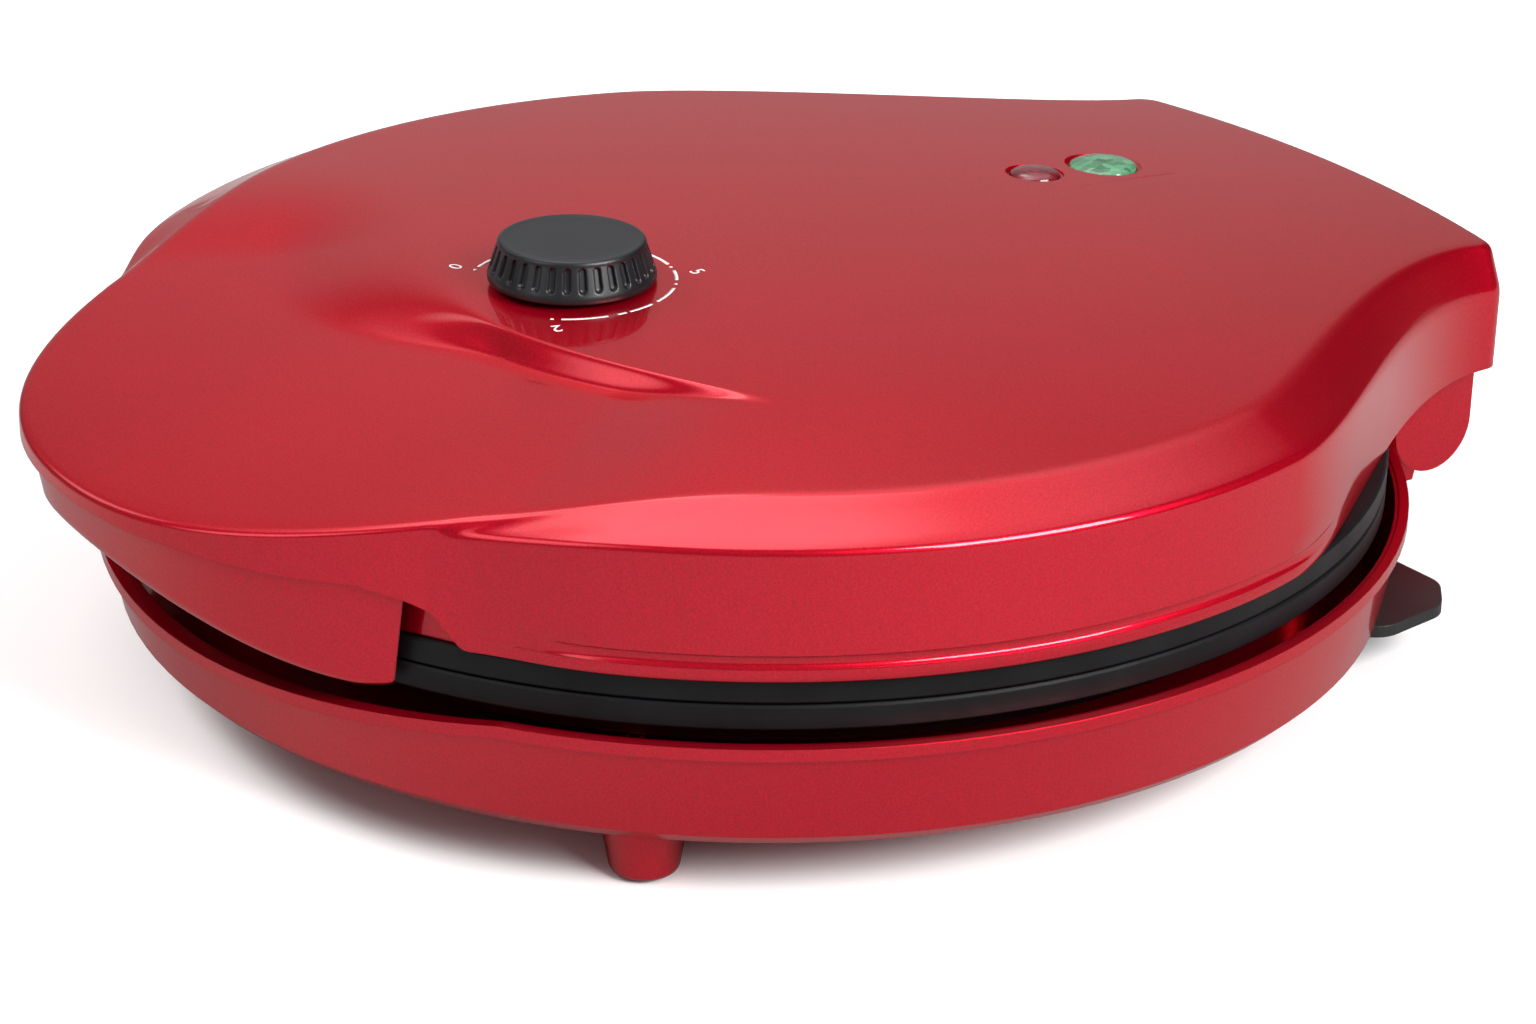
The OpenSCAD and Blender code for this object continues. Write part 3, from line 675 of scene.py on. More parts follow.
def turned(
    name: str, profile: Sequence[Vec2], material: bpy.types.Material, centre: Vec3, steps: int
) -> bpy.types.Object:
    """Turn a profile round a vertical axis.

    Args:
        name: Name of the object.
        profile: Radius and height of each point, in millimetres, from axis to axis.
        material: Its material.
        centre: Place of the axis and height of the profile's zero.
        steps: Number of points round.

    Returns:
        The new object.
    """
    builder = MeshBuilder()
    rings = [
        [
            (centre[0] + r * math.cos(2 * math.pi * i / steps),
             centre[1] + r * math.sin(2 * math.pi * i / steps), centre[2] + z)
            for i in range(steps)
        ]
        for r, z in profile
    ]
    builder.stack(rings)
    return builder.finish(name, material)


def attach(made: bpy.types.Object, body: Body, slot: Slot, *replaced: str) -> None:
    """Fix a piece to its body.

    Args:
        made: The piece.
        body: Body that it rides on.
        slot: Material slot of the record; not used.
        replaced: Nodes of the construction model that it stands for.
    """
    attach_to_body(made, body.value)
    if replaced:
        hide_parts(*replaced)
    log.info("%s: %d faces, rides on %s", made.name, len(made.data.polygons), body.value)


# ---------------------------------------------------------------- lid


@dataclass(frozen=True)
class LidForm:
    """Outlines and surfaces of the lid, in millimetres, as the construction model has them."""

    crown_z: float = 97.5
    sphere_r: float = 1650.0
    handle_deck_z: float = 90.3
    # place where the handle's deck has its named height, and its slope and bend from there
    droop_y: float = -76.0
    droop_slope: float = 0.081
    droop_bend: float = 0.00057
    # the crescent scarp: its radius at the front, how far its arms run outwards, its width
    scarp_r: float = 81.0
    scarp_out: float = 15.0
    scarp_w: float = 3.5
    # what the melted arm adds: its own width, and a start further in
    slope_w: float = 36.0
    slope_in: float = 5.0
    # angle from the front at which the scarp starts to fade, and over how many degrees
    fade_from: float = 36.0
    fade_over: float = 27.0
    deck_r: float = 142.0
    wall_r: float = 156.5
    flare: float = 1.7
    bevel_z: float = 84.5
    tail_bevel_z: float = 75.5
    # least height of the bevel, and the length over which two heights run into each other
    bevel_h: float = 2.6
    bevel_blend: float = 2.5
    bottom_z: float = 55.0
    joint_z: float = 69.0
    joint_rise: float = 2.4
    tip_y: float = 183.0
    tail_half_w: float = 70.5
    tail_corner_y: float = 173.0
    tail_back_y: float = 183.0
    corner_r: float = 5.0
    groove_depth: float = 1.3
    wall: float = 2.4
    # the step beside the handle: in front of this place, across and height of its corners
    step_y: float = -115.0
    step: tuple[Vec2, ...] = (
        (88.8, 55.0), (87.8, 55.3), (87.0, 56.2), (86.2, 57.6), (85.2, 59.6),
        (83.9, 61.8), (82.3, 63.8), (80.3, 65.5), (77.5, 66.9), (74.0, 68.3),
    )
    # points along the nose, flank, side, tail curve, corner and back edge
    points: tuple[int, ...] = (56, 84, 120, 84, 10, 44)

    def crown(self, x: float, y: float) -> float:
        """Return the height of the domed deck."""
        return self.crown_z - (x * x + y * y) / (2 * self.sphere_r)

    def droop(self, y: float) -> float:
        """Return the height of the handle deck, which droops towards the tip."""
        t = self.droop_y - y
        return self.handle_deck_z - self.droop_slope * t - self.droop_bend * t * abs(t)

    def off_front(self, p: Vec2) -> float:
        """Return the angle between a point and the front, in degrees."""
        return abs(math.degrees(math.atan2(p[0], -p[1])))

    def softness(self, p: Vec2) -> float:
        """Return how far the scarp has melted into a slope: not at all on the right."""
        turn = math.degrees(math.atan2(p[0], -p[1]))
        return smooth((14 - turn) / 40)

    def scarp_line(self, p: Vec2) -> float:
        """Return the radius at which the scarp starts in a point's direction."""
        out = self.scarp_out * min(1.0, self.off_front(p) / 60) ** 3
        return self.scarp_r + out - self.slope_in * self.softness(p)

    def scarp_width(self, p: Vec2) -> float:
        """Return how wide the scarp is in a point's direction."""
        return self.scarp_w + self.slope_w * self.softness(p)

    def deck_z(self, p: Vec2, past: float | None = None) -> float:
        """Return the height of the deck with its scarp.

        Args:
            p: Point of the deck.
            past: Share of the scarp's drop that the point has, if it is known.

        Returns:
            Height in millimetres.
        """
        if past is None:
            past = smooth((math.hypot(*p) - self.scarp_line(p)) / self.scarp_width(p))
        fade = 1 - smooth((self.off_front(p) - self.fade_from) / self.fade_over)
        crown = self.crown(*p)
        return crown - fade * past * max(0.0, crown - self.droop(p[1]))

    def bevel_low(self, p: Vec2) -> float:
        """Return the height of the bevel's lower edge.

        Args:
            p: Point of the wall's outline.

        Returns:
            The lower of the bevel's own height and the deck's less the least bevel, without a
            crease where one takes over from the other.
        """
        low = lerp(self.bevel_z, self.tail_bevel_z, smooth((p[1] - 40) / 138))
        gap = self.deck_z(p) - self.bevel_h - low
        blend = self.bevel_blend
        if gap < -blend:
            return low + gap
        if gap > blend:
            return low
        return low - (gap - blend) ** 2 / (4 * blend)

    def handle_joint(self, x: float) -> float:
        """Return the height of the joint line between lid and handle cover."""
        return self.joint_z + self.joint_rise * (1 - smooth((abs(x) - 34) / 40))

    def back_edge(self, corner: Vec2, back_y: float, n: int) -> list[Vec2]:
        """Return the bulging back edge.

        Args:
            corner: Corner of the tail.
            back_y: Place of the edge's middle.
            n: Number of steps.

        Returns:
            Points from the corner to the middle.
        """
        half_w = corner[0] - 0.9 * self.corner_r
        rise = back_y - corner[1] - 0.8 * self.corner_r
        r = (half_w * half_w + rise * rise) / (2 * rise)
        a = math.degrees(math.asin(half_w / r))
        return [add((0.0, back_y - r), polar(r, 90 - a * (1 - i / n))) for i in range(n + 1)]

    def corner(self, corner: Vec2, n: int) -> list[Vec2]:
        """Return the round corner of the tail."""
        return arc(self.corner_r, 0, 75, n, (corner[0] - self.corner_r, corner[1] - 1))

    def nose_controls(self) -> list[Vec2]:
        """Return the control points of the handle's nose, from its tip to the neck."""
        return [(0, -self.tip_y), (43, -self.tip_y), (66, -161), (84, -133)]

    def side(
        self, r: float, front: float, back: float, controls: Sequence[Sequence[Vec2]], corner: Vec2,
        back_y: float,
    ) -> list[Vec2]:
        """Return the right half of an outline.

        Args:
            r: Radius of the round stretch.
            front: Angle at which the round stretch starts.
            back: Angle at which it ends.
            controls: Inner control points of the flank and of the tail's curve.
            corner: Corner of the tail.
            back_y: Place of the back edge.

        Returns:
            Points from the tip to the middle of the back.
        """
        _, flank, side, tail, corner_n, edge = self.points
        start, end = polar(r, front), polar(r, back)
        return (
            curve(self.nose_controls(), self.points[0])
            + curve([controls[0][0], controls[0][1], controls[0][2], start], flank)
            + arc(r, front, back, side)
            + curve([end, controls[1][0], controls[1][1], (corner[0], corner[1] - 1)], tail)
            + self.corner(corner, corner_n)
            + self.back_edge(corner, back_y, edge)
        )

    def deck_line(self) -> list[Vec2]:
        """Return the deck's outline.

        Returns:
            Points of the closed outline, from the handle's tip.
        """
        half_w = self.tail_half_w
        before = add(polar(self.deck_r, -33), polar(1, 57), -22)
        flank = [(84, -133), (95, -114), before]
        tail = [(127, 68.5), (half_w + 1, 132)]
        corner = (half_w, self.tail_corner_y)
        return both_sides(self.side(self.deck_r, -33, 18, [flank, tail], corner, self.tail_back_y))

    def wall_line(self) -> list[Vec2]:
        """Return the outline of the wall under the bevel.

        Returns:
            Points of the closed outline, from the handle's tip.
        """
        half_w = self.tail_half_w + 4
        before = add(polar(self.wall_r, -45), polar(1, 45), -12)
        flank = [(84.6, -133.3), (89.5, -126.5), before]
        tail = [(141, 76), (half_w, 136)]
        corner = (half_w, self.tail_corner_y + 1)
        return both_sides(self.side(self.wall_r, -45, 17, [flank, tail], corner, self.tail_back_y))

    def flare_share(self, p: Vec2) -> float:
        """Return the share of the wall's flare: none at the handle and the tail."""
        a = self.off_front(p)
        return smooth((a - 34) / 14) * smooth((130 - a) / 30)

    def groove(self, p: Vec2) -> float:
        """Return how deep the groove over the lip is."""
        a = self.off_front(p)
        return self.groove_depth * smooth((a - 36) / 12) * smooth((118 - a) / 16)

    def lower_edge(self, p: Vec2) -> float:
        """Return the height of the cover's lower edge, with its step beside the handle.

        Args:
            p: Point of the wall's outline.

        Returns:
            Height in millimetres.
        """
        x = abs(p[0])
        if p[1] > self.step_y or x >= self.step[0][0]:
            return self.bottom_z
        for (x0, z0), (x1, z1) in zip(self.step, self.step[1:]):
            if x >= x1:
                return lerp(z0, z1, (x0 - x) / (x0 - x1))
        return self.handle_joint(x)


@dataclass
class LidCover:
    """Moulded upper shell of the lid."""

    palette: Palette
    form: LidForm = field(default_factory=LidForm)
    edge_round: float = 2.4
    foot_round: float = 1.8
    shaft_hole_r: float = 5.0
    lens_x: float = -14.0
    # place and radius of each lens, the room round it, and the wider rebate that it sits in
    lenses: tuple[Vec2, ...] = ((94.0, 6.4), (116.0, 8.8))
    lens_room: float = 0.2
    rebate_w: float = 1.2
    rebate_depth: float = 0.8

    def rings(self) -> list[list[Vec3]]:
        """Work out the outer skin.

        Returns:
            Rings of points, from near the crown to the lower edge.
        """
        form = self.form
        deck, wall = form.deck_line(), form.wall_line()
        flat = [unit(p) for p in deck]
        size = [math.hypot(*p) for p in deck]
        scarp = [form.scarp_line(p) for p in deck]
        width = [form.scarp_width(p) for p in deck]
        rings: list[list[Vec3]] = []

        def on_deck(radii: list[float], past: float | None) -> None:
            """Add a ring of the deck.

            Args:
                radii: Radius of each point.
                past: Share of the scarp's drop that the ring has, if it is known.
            """
            ring = []
            for q, r in zip(flat, radii):
                p = (q[0] * r, q[1] * r)
                ring.append((p[0], p[1], form.deck_z(p, past)))
            rings.append(ring)

        for share in (0.04, 0.12, 0.22, 0.32, 0.42, 0.52, 0.62, 0.7, 0.78, 0.85, 0.91, 0.955, 0.985):
            on_deck([s * share for s in scarp], 0.0)
        steps = 12
        for i in range(steps + 1):
            t = i / steps
            on_deck([s - 0.4 + (w + 0.8) * t for s, w in zip(scarp, width)], smooth(t))
        deck_steps = 18
        for i in range(1, deck_steps):
            t = i / deck_steps
            on_deck(
                [lerp(s + w + 0.4, r - self.edge_round, t) for s, w, r in zip(scarp, width, size)], 1.0
            )
        rings.extend(self.edge_rings(deck, wall))
        rings.extend(self.wall_rings(wall))
        return rings

    def edge_rings(self, deck: list[Vec2], wall: list[Vec2]) -> list[list[Vec3]]:
        """Work out the rounded deck edge, the bevel and its rounded foot.

        Args:
            deck: The deck's outline.
            wall: The wall's outline.

        Returns:
            Rings of points, from the deck outwards.
        """
        form = self.form
        top: list[Vec3] = []
        corner: list[Vec3] = []
        low: list[Vec3] = []
        for d, w in zip(deck, wall):
            q = unit(d)
            p = add(d, q, -self.edge_round)
            top.append((p[0], p[1], form.deck_z(p)))
            corner.append((d[0], d[1], form.deck_z(d)))
            low.append((w[0], w[1], max(form.bevel_low(w), form.lower_edge(w) + 0.4)))
        rings = []
        for t in (0.0, 0.2, 0.4, 0.6, 0.8, 1.0):
            rings.append([self.rounded(a, b, c, t) for a, b, c in zip(top, corner, low)])
        for t in (0.2, 0.4, 0.6, 0.8):
            rings.append([self.along(b, c, t) for b, c in zip(corner, low)])
        foot = [
            (w[0], w[1], max(form.bevel_low(w) - self.foot_round, form.lower_edge(w) + 0.1)) for w in wall
        ]
        for t in (0.0, 0.25, 0.5, 0.75, 1.0):
            rings.append([self.rounded_foot(b, c, f, t) for b, c, f in zip(corner, low, foot)])
        return rings

    def reach(self, a: Vec3, b: Vec3, length: float) -> float:
        """Return the share of the way from a to b that is at most length."""
        return min(0.45, length / max(0.1, math.dist(a, b)))

    def rounded(self, a: Vec3, b: Vec3, c: Vec3, t: float) -> Vec3:
        """Return a point of the round between the deck and the bevel."""
        end = Vector(b).lerp(Vector(c), self.reach(b, c, self.edge_round))
        return tuple(Vector(a).lerp(Vector(b), t).lerp(Vector(b).lerp(end, t), t))

    def along(self, b: Vec3, c: Vec3, t: float) -> Vec3:
        """Return a point of the bevel between its two rounds."""
        low, high = self.reach(b, c, self.edge_round), 1 - self.reach(b, c, self.foot_round)
        return tuple(Vector(b).lerp(Vector(c), lerp(low, high, t)))

    def rounded_foot(self, b: Vec3, c: Vec3, f: Vec3, t: float) -> Vec3:
        """Return a point of the round between the bevel and the wall."""
        start = Vector(c).lerp(Vector(b), self.reach(b, c, self.foot_round))
        return tuple(start.lerp(Vector(c), t).lerp(Vector(c).lerp(Vector(f), t), t))

    def wall_rings(self, wall: list[Vec2]) -> list[list[Vec3]]:
        """Work out the wall, the groove and the lip, cut off at the lower edge.

        Args:
            wall: The wall's outline.

        Returns:
            Rings of points, from the bevel's foot down.
        """
        form = self.form
        top_z = form.bottom_z + 6.6
        rows: list[tuple[float, float, float, bool]] = []
        for t in (0.25, 0.5, 0.75):
            rows.append((0.0, form.flare * t, t, True))
        for z, share in ((6.6, 0.0), (6.4, 0.12), (6.1, 0.6), (5.8, 0.92), (5.4, 1.0), (4.7, 1.0),
                         (4.1, 0.95), (3.7, 0.8), (3.4, 0.45), (3.2, 0.3)):
            rows.append((form.bottom_z + z, form.flare, share, False))
        for z, out in ((3.0, 0.55), (2.4, 0.5), (1.2, 0.6), (0.4, 0.7), (0.0, 1.0)):
            rows.append((form.bottom_z + z, form.flare - out, 0.0, False))
        columns = [self.wall_column(p, rows, top_z) for p in wall]
        return [list(ring) for ring in zip(*columns)]

    def wall_column(
        self, p: Vec2, rows: list[tuple[float, float, float, bool]], top_z: float
    ) -> list[Vec3]:
        """Return the points of the wall under one point of its outline.

        Args:
            p: Point of the wall's outline.
            rows: Height, distance out, share and whether the row slides with the bevel.
            top_z: Height to which the sliding rows reach.

        Returns:
            Points from the bevel's foot down, none of them under the lower edge.
        """
        form = self.form
        lowest = form.lower_edge(p)
        above, above_k = form.bevel_low(p) - self.foot_round, 1.0
        column = []
        for z, out, share, free in rows:
            at = lerp(form.bevel_low(p) - self.foot_round, top_z, share) if free else z
            depth = 0.0 if free else share * form.groove(p)
            k = 1 + (out - depth) * form.flare_share(p) / form.wall_r
            if at < lowest:
                k = lerp(above_k, k, (above - lowest) / (above - at)) if above > lowest else above_k
                at = lowest
            column.append((p[0] * k, p[1] * k, at))
            above, above_k = at, k
        return column

    def hole(self, x: float, y: float, r: float, low: float, high: float) -> bpy.types.Object:
        """Return a cutter for a round hole in the deck."""
        profile = [(0.0, low), (r, low), (r, high), (0.0, high)]
        return turned("cutter", profile, self.palette.red, (x, y, 0), 64)

    def build(self) -> None:
        """Build the shell, cut its holes and fix it to the lid."""
        form = self.form
        builder = MeshBuilder()
        rings = builder.stack(self.rings())
        builder.fan((0, 0, form.crown_z), rings[0])
        cover = builder.finish("lid_cover_shell", self.palette.red, closed=False)
        thicken(cover, form.wall)
        cutters = [self.hole(0, DIAL_Y, self.shaft_hole_r, 80, 110)]
        for y, r in self.lenses:
            z = form.crown(self.lens_x, y)
            cutters.append(self.hole(self.lens_x, y, r + self.lens_room, z - 8, z + 8))
            cutters.append(self.hole(self.lens_x, y, r + self.rebate_w, z - self.rebate_depth, z + 8))
        cut(cover, cutters)
        shade(cover)
        attach(cover, Body.LID, Slot.RED_HOUSING, "lid_cover")


@dataclass
class HandleCover:
    """Tapered tub under the handle's nose, with a floor that rises towards the tip."""

    palette: Palette
    form: LidForm = field(default_factory=LidForm)
    floor_z: float = 43.0
    # radius of the rear wall at its top, and how far it leans in and out again below
    back_r: float = 158.2
    back_lean: float = -1.6
    back_round: float = 1.4
    # how far the side lies inside the nose: at its top, more at its foot, more at the tip
    side_inset: float = 1.2
    draft: float = 3.2
    tuck: float = 1.4
    foot_round: float = 1.8
    foot_h: float = 2.2
    # how far the side passes the rear wall, and the degrees that round their corner
    corner_reach: float = 1.2
    corner_turn: float = 1.5
    # how far the top of the tub keeps under the joint line
    joint_gap: float = 0.2
    stations: int = 60
    edge_round: float = 0.9
    screw_r: float = 168.0
    well_r: float = 3.4

    def floor_at(self, y: float) -> float:
        """Return the height of the floor."""
        t = max(0.0, -y - 145)
        return self.floor_z + 0.2 * t + 0.0088 * t * t

    def beside(self, t: float, distance: float) -> Vec2:
        """Return a point of the nose's curve, moved inwards.

        Args:
            t: Place along the curve, 0 to 1.
            distance: How far the point moves.

        Returns:
            The moved point.
        """
        controls = self.form.nose_controls()
        step = 1e-4
        a, b = bezier(controls, t - step), bezier(controls, t + step)
        d = unit((b[0] - a[0], b[1] - a[1]))
        return add(bezier(controls, t), (-d[1], d[0]), distance)

    def side_end(self, distance: float, reach: float) -> float:
        """Return where the side, followed from the tip, first comes as near the middle as `reach`.

        Args:
            distance: How far the side lies inside the nose.
            reach: Radius of the place.

        Returns:
            Place along the nose's curve, 0 to 1.
        """
        low, high = 0.6, 1.0
        for _ in range(24):
            mid = (low + high) / 2
            low, high = (mid, high) if math.hypot(*self.beside(mid, distance)) > reach else (low, mid)
        return low

    def outline(self, distance: float, back: float, tuck: float = 0.0) -> list[Vec2]:
        """Return the tub's outline.

        Args:
            distance: How far the side lies inside the nose.
            back: How much larger the rear wall's radius is than at its top.
            tuck: How much further inside the side lies at the tip.

        Returns:
            Points from the tip along the right side, the rear wall and the left side.
        """
        n = self.stations
        last = self.side_end(distance, self.back_r + back + self.corner_reach)
        side = [
            self.beside(last * i / n, distance + tuck * (1 - smooth(i / (0.6 * n)))) for i in range(n + 1)
        ]
        angle = math.degrees(math.atan2(side[n][1], side[n][0]))
        rear = [polar(self.back_r + back, lerp(angle - self.corner_turn, -90, i / n)) for i in range(n + 1)]
        mirrored = [(-x, y) for x, y in reversed(rear[:-1])] + [(-x, y) for x, y in reversed(side[1:])]
        return side + rear + mirrored

    def well(self, angle: float) -> bpy.types.Object:
        """Make a cutter for a screw's well in the floor.

        Args:
            angle: Direction of the screw, in degrees from +X.

        Returns:
            The cutter.
        """
        x, y = polar(self.screw_r, angle)
        top = self.floor_at(y) + 4.0
        profile = [(0.0, 35.0), (self.well_r, 35.0), (self.well_r, top), (0.0, top)]
        return turned("cutter", profile, self.palette.red, (x, y, 0), 48)

    def rings(self) -> list[list[Vec3]]:
        """Work out the tub's outer skin.

        Returns:
            Rings of points, from the joint line down to the rim of the floor.
        """
        low = self.side_inset + self.draft
        rings = []
        for t in (0.0, 0.25, 0.5, 0.75, 1.0):
            line = self.outline(lerp(self.side_inset, low, t), self.back_lean * t, self.tuck * (1 - t))
            rings.append([
                (x, y, lerp(self.form.handle_joint(x) - self.joint_gap, self.floor_at(y) + self.foot_h, t))
                for x, y in line
            ])
        for i in range(1, 6):
            a = math.radians(18 * i)
            share = 1 - math.cos(a)
            line = self.outline(low + self.foot_round * share, self.back_lean + self.back_round * share)
            rings.append([(x, y, self.floor_at(y) + self.foot_h * (1 - math.sin(a))) for x, y in line])
        return rings

    def build(self) -> None:
        """Build the tub and fix it to the lid."""
        builder = MeshBuilder()
        made = builder.stack(self.rings())
        last, n = made[-1], self.stations
        count = len(last)
        for i in range(n):
            right = (i, i + 1, 2 * n - i, 2 * n + 1 - i)
            builder.mesh.faces.new([last[k] for k in right])
            builder.mesh.faces.new([last[(count - k) % count] for k in reversed(right)])
        tub = builder.finish("handle_tub", self.palette.red)
        thicken(tub, self.form.wall)
        cut(tub, [self.well(angle) for angle in (-90.0, -80.0, -100.0)])
        rim = tub.modifiers.new("edges", "BEVEL")
        rim.width = self.edge_round * MM
        rim.segments = 3
        rim.limit_method = "ANGLE"
        rim.angle_limit = math.radians(40)
        apply_modifiers(tub)
        shade(tub)
        attach(tub, Body.LID, Slot.RED_HOUSING, "handle_cover")


# ---------------------------------------------------------------- dial


@dataclass
class Knob:
    """Thermostat knob: a coned side with moulded finger pockets and a slightly dished top."""

    palette: Palette
    bottom_r: float = 20.0
    top_r: float = 17.2
    height: float = 9.8
    gap: float = 0.8
    pockets: int = 32
    pocket_w: float = 2.0
    pocket_depth: float = 1.0
    dish: float = 0.26
    wall: float = 0.6
    columns: int = 20
    rows: int = 44

    def side_r(self, z: float) -> float:
        """Return the radius of the coned side."""
        return lerp(self.bottom_r - 0.1, self.top_r + 0.4, clamp01((z - 1.8) / (self.height - 3.0)))

    def pocket(self, across: float, z: float) -> float:
        """Return how deep a finger pocket is.

        Args:
            across: Distance from the pocket's middle line.
            z: Height above the knob's lower rim.

        Returns:
            Depth in millimetres.
        """
        half_w, low, high = self.pocket_w / 2, 2.5, self.height - 1.3
        over = max(0.0, low + half_w - z, z - (high - half_w))
        inside = half_w - math.hypot(across, over)
        return self.pocket_depth * smooth(inside / 0.45)

    def build(self) -> None:
        """Build the knob and fix it to the dial."""
        count = self.pockets * self.columns
        base = LidForm().crown(0, DIAL_Y) + self.gap
        pitch = 2 * math.pi * 19 / self.pockets
        rings: list[list[Vec3]] = []

        def ring(r_at: Callable[[float], float], z: float) -> None:
            """Add one ring.

            Args:
                r_at: Gives the radius for a distance from the nearest pocket's middle line.
                z: Height above the knob's lower rim.
            """
            points = []
            for i in range(count):
                across = ((i / self.columns + 0.5) % 1.0 - 0.5) * pitch
                a, r = 2 * math.pi * i / count, r_at(across)
                points.append((r * math.cos(a), DIAL_Y + r * math.sin(a), base + z))
            rings.append(points)

        for r, z in ((self.bottom_r - 2.2, 1.2), (self.bottom_r - 2.0, 0.1), (self.bottom_r - 1.6, 0.0)):
            ring(lambda _, r=r: r, z)
        for i in range(1, 7):
            a = math.radians(15 * i)
            ring(lambda _, a=a: self.bottom_r - 0.7 + 0.7 * math.sin(a), 0.7 - 0.7 * math.cos(a))
        ring(lambda _: self.bottom_r, 1.4)
        for i in range(self.rows + 1):
            z = lerp(1.9, self.height - 1.1, i / self.rows)
            ring(lambda across, z=z: self.side_r(z) - self.pocket(across, z), z)
        for i in range(1, 7):
            a = math.radians(15 * i)
            ring(lambda _, a=a: self.top_r - 0.7 + 1.1 * math.cos(a), self.height - 1.0 + math.sin(a))
        top = ((16.2, 0.03), (15.6, 0.14), (14.8, 0.2), (11.0, 0.24), (5.0, self.dish), (0.4, self.dish))
        for r, drop in top:
            ring(lambda _, r=r: r, self.height - drop)
        builder = MeshBuilder()
        made = builder.stack(rings)
        builder.fan((0, DIAL_Y, base + self.height - self.dish), made[-1])
        knob = builder.finish("thermostat_knob", self.palette.knob, 50.0)
        thicken(knob, self.wall)
        shade(knob, 50.0)
        attach(knob, Body.DIAL, Slot.BLACK_KNOB, "knob")


@dataclass
class DialPrint:
    """Marks printed on the deck round the knob: arcs, dots and plain numbers."""

    palette: Palette
    form: LidForm = field(default_factory=LidForm)
    radius: float = 24.6
    stroke: float = 0.85
    ink_h: float = 0.03
    lift: float = 0.02
    number_h: float = 5.2
    # start and end of each printed arc, in degrees from +X
    arcs: tuple[Vec2, ...] = (
        (-171.0, -146.0), (82.0, 104.0), (57.0, 72.0), (23.0, 45.0), (2.5, 18.5), (-5.0, 0.5), (-36.0, -10.5),
    )
    dots: tuple[float, ...] = (-141.5, 77.5, 51.0, -41.0)
    # angle of each number round the knob
    numbers: tuple[tuple[str, float], ...] = (("0", -143.0), ("2", -37.0), ("5", 68.0))

    def at(self, r: float, degrees: float, lift: float) -> Vec3:
        """Return a point over the deck at a radius and angle from the knob's axis."""
        x, y = add((0.0, DIAL_Y), polar(r, degrees))
        return x, y, self.form.crown(x, y) + lift

    def mark(self, builder: MeshBuilder, start: float, end: float, half: float) -> None:
        """Add one printed arc.

        Args:
            builder: Takes the arc's points.
            start: Angle at which the arc starts.
            end: Angle at which it ends.
            half: Half of its stroke.
        """
        steps = max(4, int(abs(end - start) / 1.5))
        inner, outer = [], []
        for i in range(steps + 1):
            a = lerp(start, end, i / steps)
            inner.append(self.at(self.radius - half, a, self.lift))
            outer.append(self.at(self.radius + half, a, self.lift))
        builder.strip(builder.ring(inner), builder.ring(outer), closed=False)

    def build(self) -> None:
        """Build the marks and numbers and fix them to the lid."""
        builder = MeshBuilder()
        for start, end in self.arcs:
            self.mark(builder, start, end, self.stroke / 2)
        for a in self.dots:
            self.mark(builder, a - 0.9, a + 0.9, 0.4)
        marks = builder.finish("dial_marks", self.palette.ink)
        thicken(marks, -self.ink_h)
        attach(marks, Body.LID, Slot.RED_HOUSING)
        for text, angle in self.numbers:
            self.number(text, angle)

    def number(self, text: str, angle: float) -> None:
        """Print one number, its top away from the knob.

        Args:
            text: The number.
            angle: Direction of its place from the knob's axis.
        """
        data = bpy.data.curves.new("number", "FONT")
        data.body = text
        data.size = self.number_h * MM
        data.align_x = "CENTER"
        data.align_y = "CENTER"
        data.extrude = 0.012 * MM
        made = bpy.data.objects.new("number", data)
        bpy.context.scene.collection.objects.link(made)
        mesh = bpy.data.meshes.new_from_object(made)
        bpy.data.objects.remove(made)
        number = bpy.data.objects.new(f"dial_number_{text}", mesh)
        mesh.materials.clear()
        mesh.materials.append(self.palette.ink)
        x, y, z = self.at(self.radius + 5.2, angle, self.lift)
        upwards = Vector((x, y, self.form.sphere_r)).normalized()
        tilt = upwards.to_track_quat("Z", "Y").to_matrix().to_4x4()
        turn = Matrix.Rotation(math.radians(angle - 90), 4, "Z")
        mesh.transform(Matrix.Translation(Vector((x, y, z)) * MM) @ tilt @ turn)
        bpy.context.scene.collection.objects.link(number)
        attach(number, Body.LID, Slot.RED_HOUSING)


# ---------------------------------------------------------------- carried-over nodes


class Dresser:
    """Gives each carried-over node of the construction model its finish."""

    def __init__(self, palette: Palette) -> None:
        """Set out which finish each node takes.

        Args:
            palette: Every finish.
        """
        self.finishes: dict[str, bpy.types.Material] = {
            "base_shell": palette.red,
            "lid_frame": palette.red,
            "lid_cover": palette.red,
            "handle_cover": palette.red,
            "lower_plate": palette.non_stick,
            "upper_plate": palette.non_stick,
            "knob": palette.knob,
            "cord_wrap_tabs": palette.black,
            "cord_gland": palette.black,
            "foot_pads": palette.rubber,
            "terminal_block": palette.ivory,
            "thermostat": palette.ivory,
            "lamp_holder": palette.ivory,
            "thermal_fuse": palette.ivory,
            "neon_lamps": palette.lamp,
            "red_lens": palette.red_lens,
            "green_lens": palette.green_lens,
            "lower_heat_shield": palette.sheet,
            "upper_heat_shield": palette.sheet,
            "thermostat_bracket": palette.sheet,
            "lower_element": palette.heater,
            "upper_element": palette.heater,
            "control_shaft": palette.steel,
            "hinge_pins": palette.steel,
            "wrap_screws": palette.steel,
            "lower_plate_screws": palette.steel,
            "upper_plate_screws": palette.steel,
            "frame_screws": palette.steel,
            "handle_screws": palette.steel,
        }

    def dress(self) -> None:
        """Set every node's material."""
        for name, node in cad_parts.items():
            node.data.materials.clear()
            node.data.materials.append(self.finishes[name])
            log.info("%s: takes %s", name, self.finishes[name].name)


# ---------------------------------------------------------------- studio


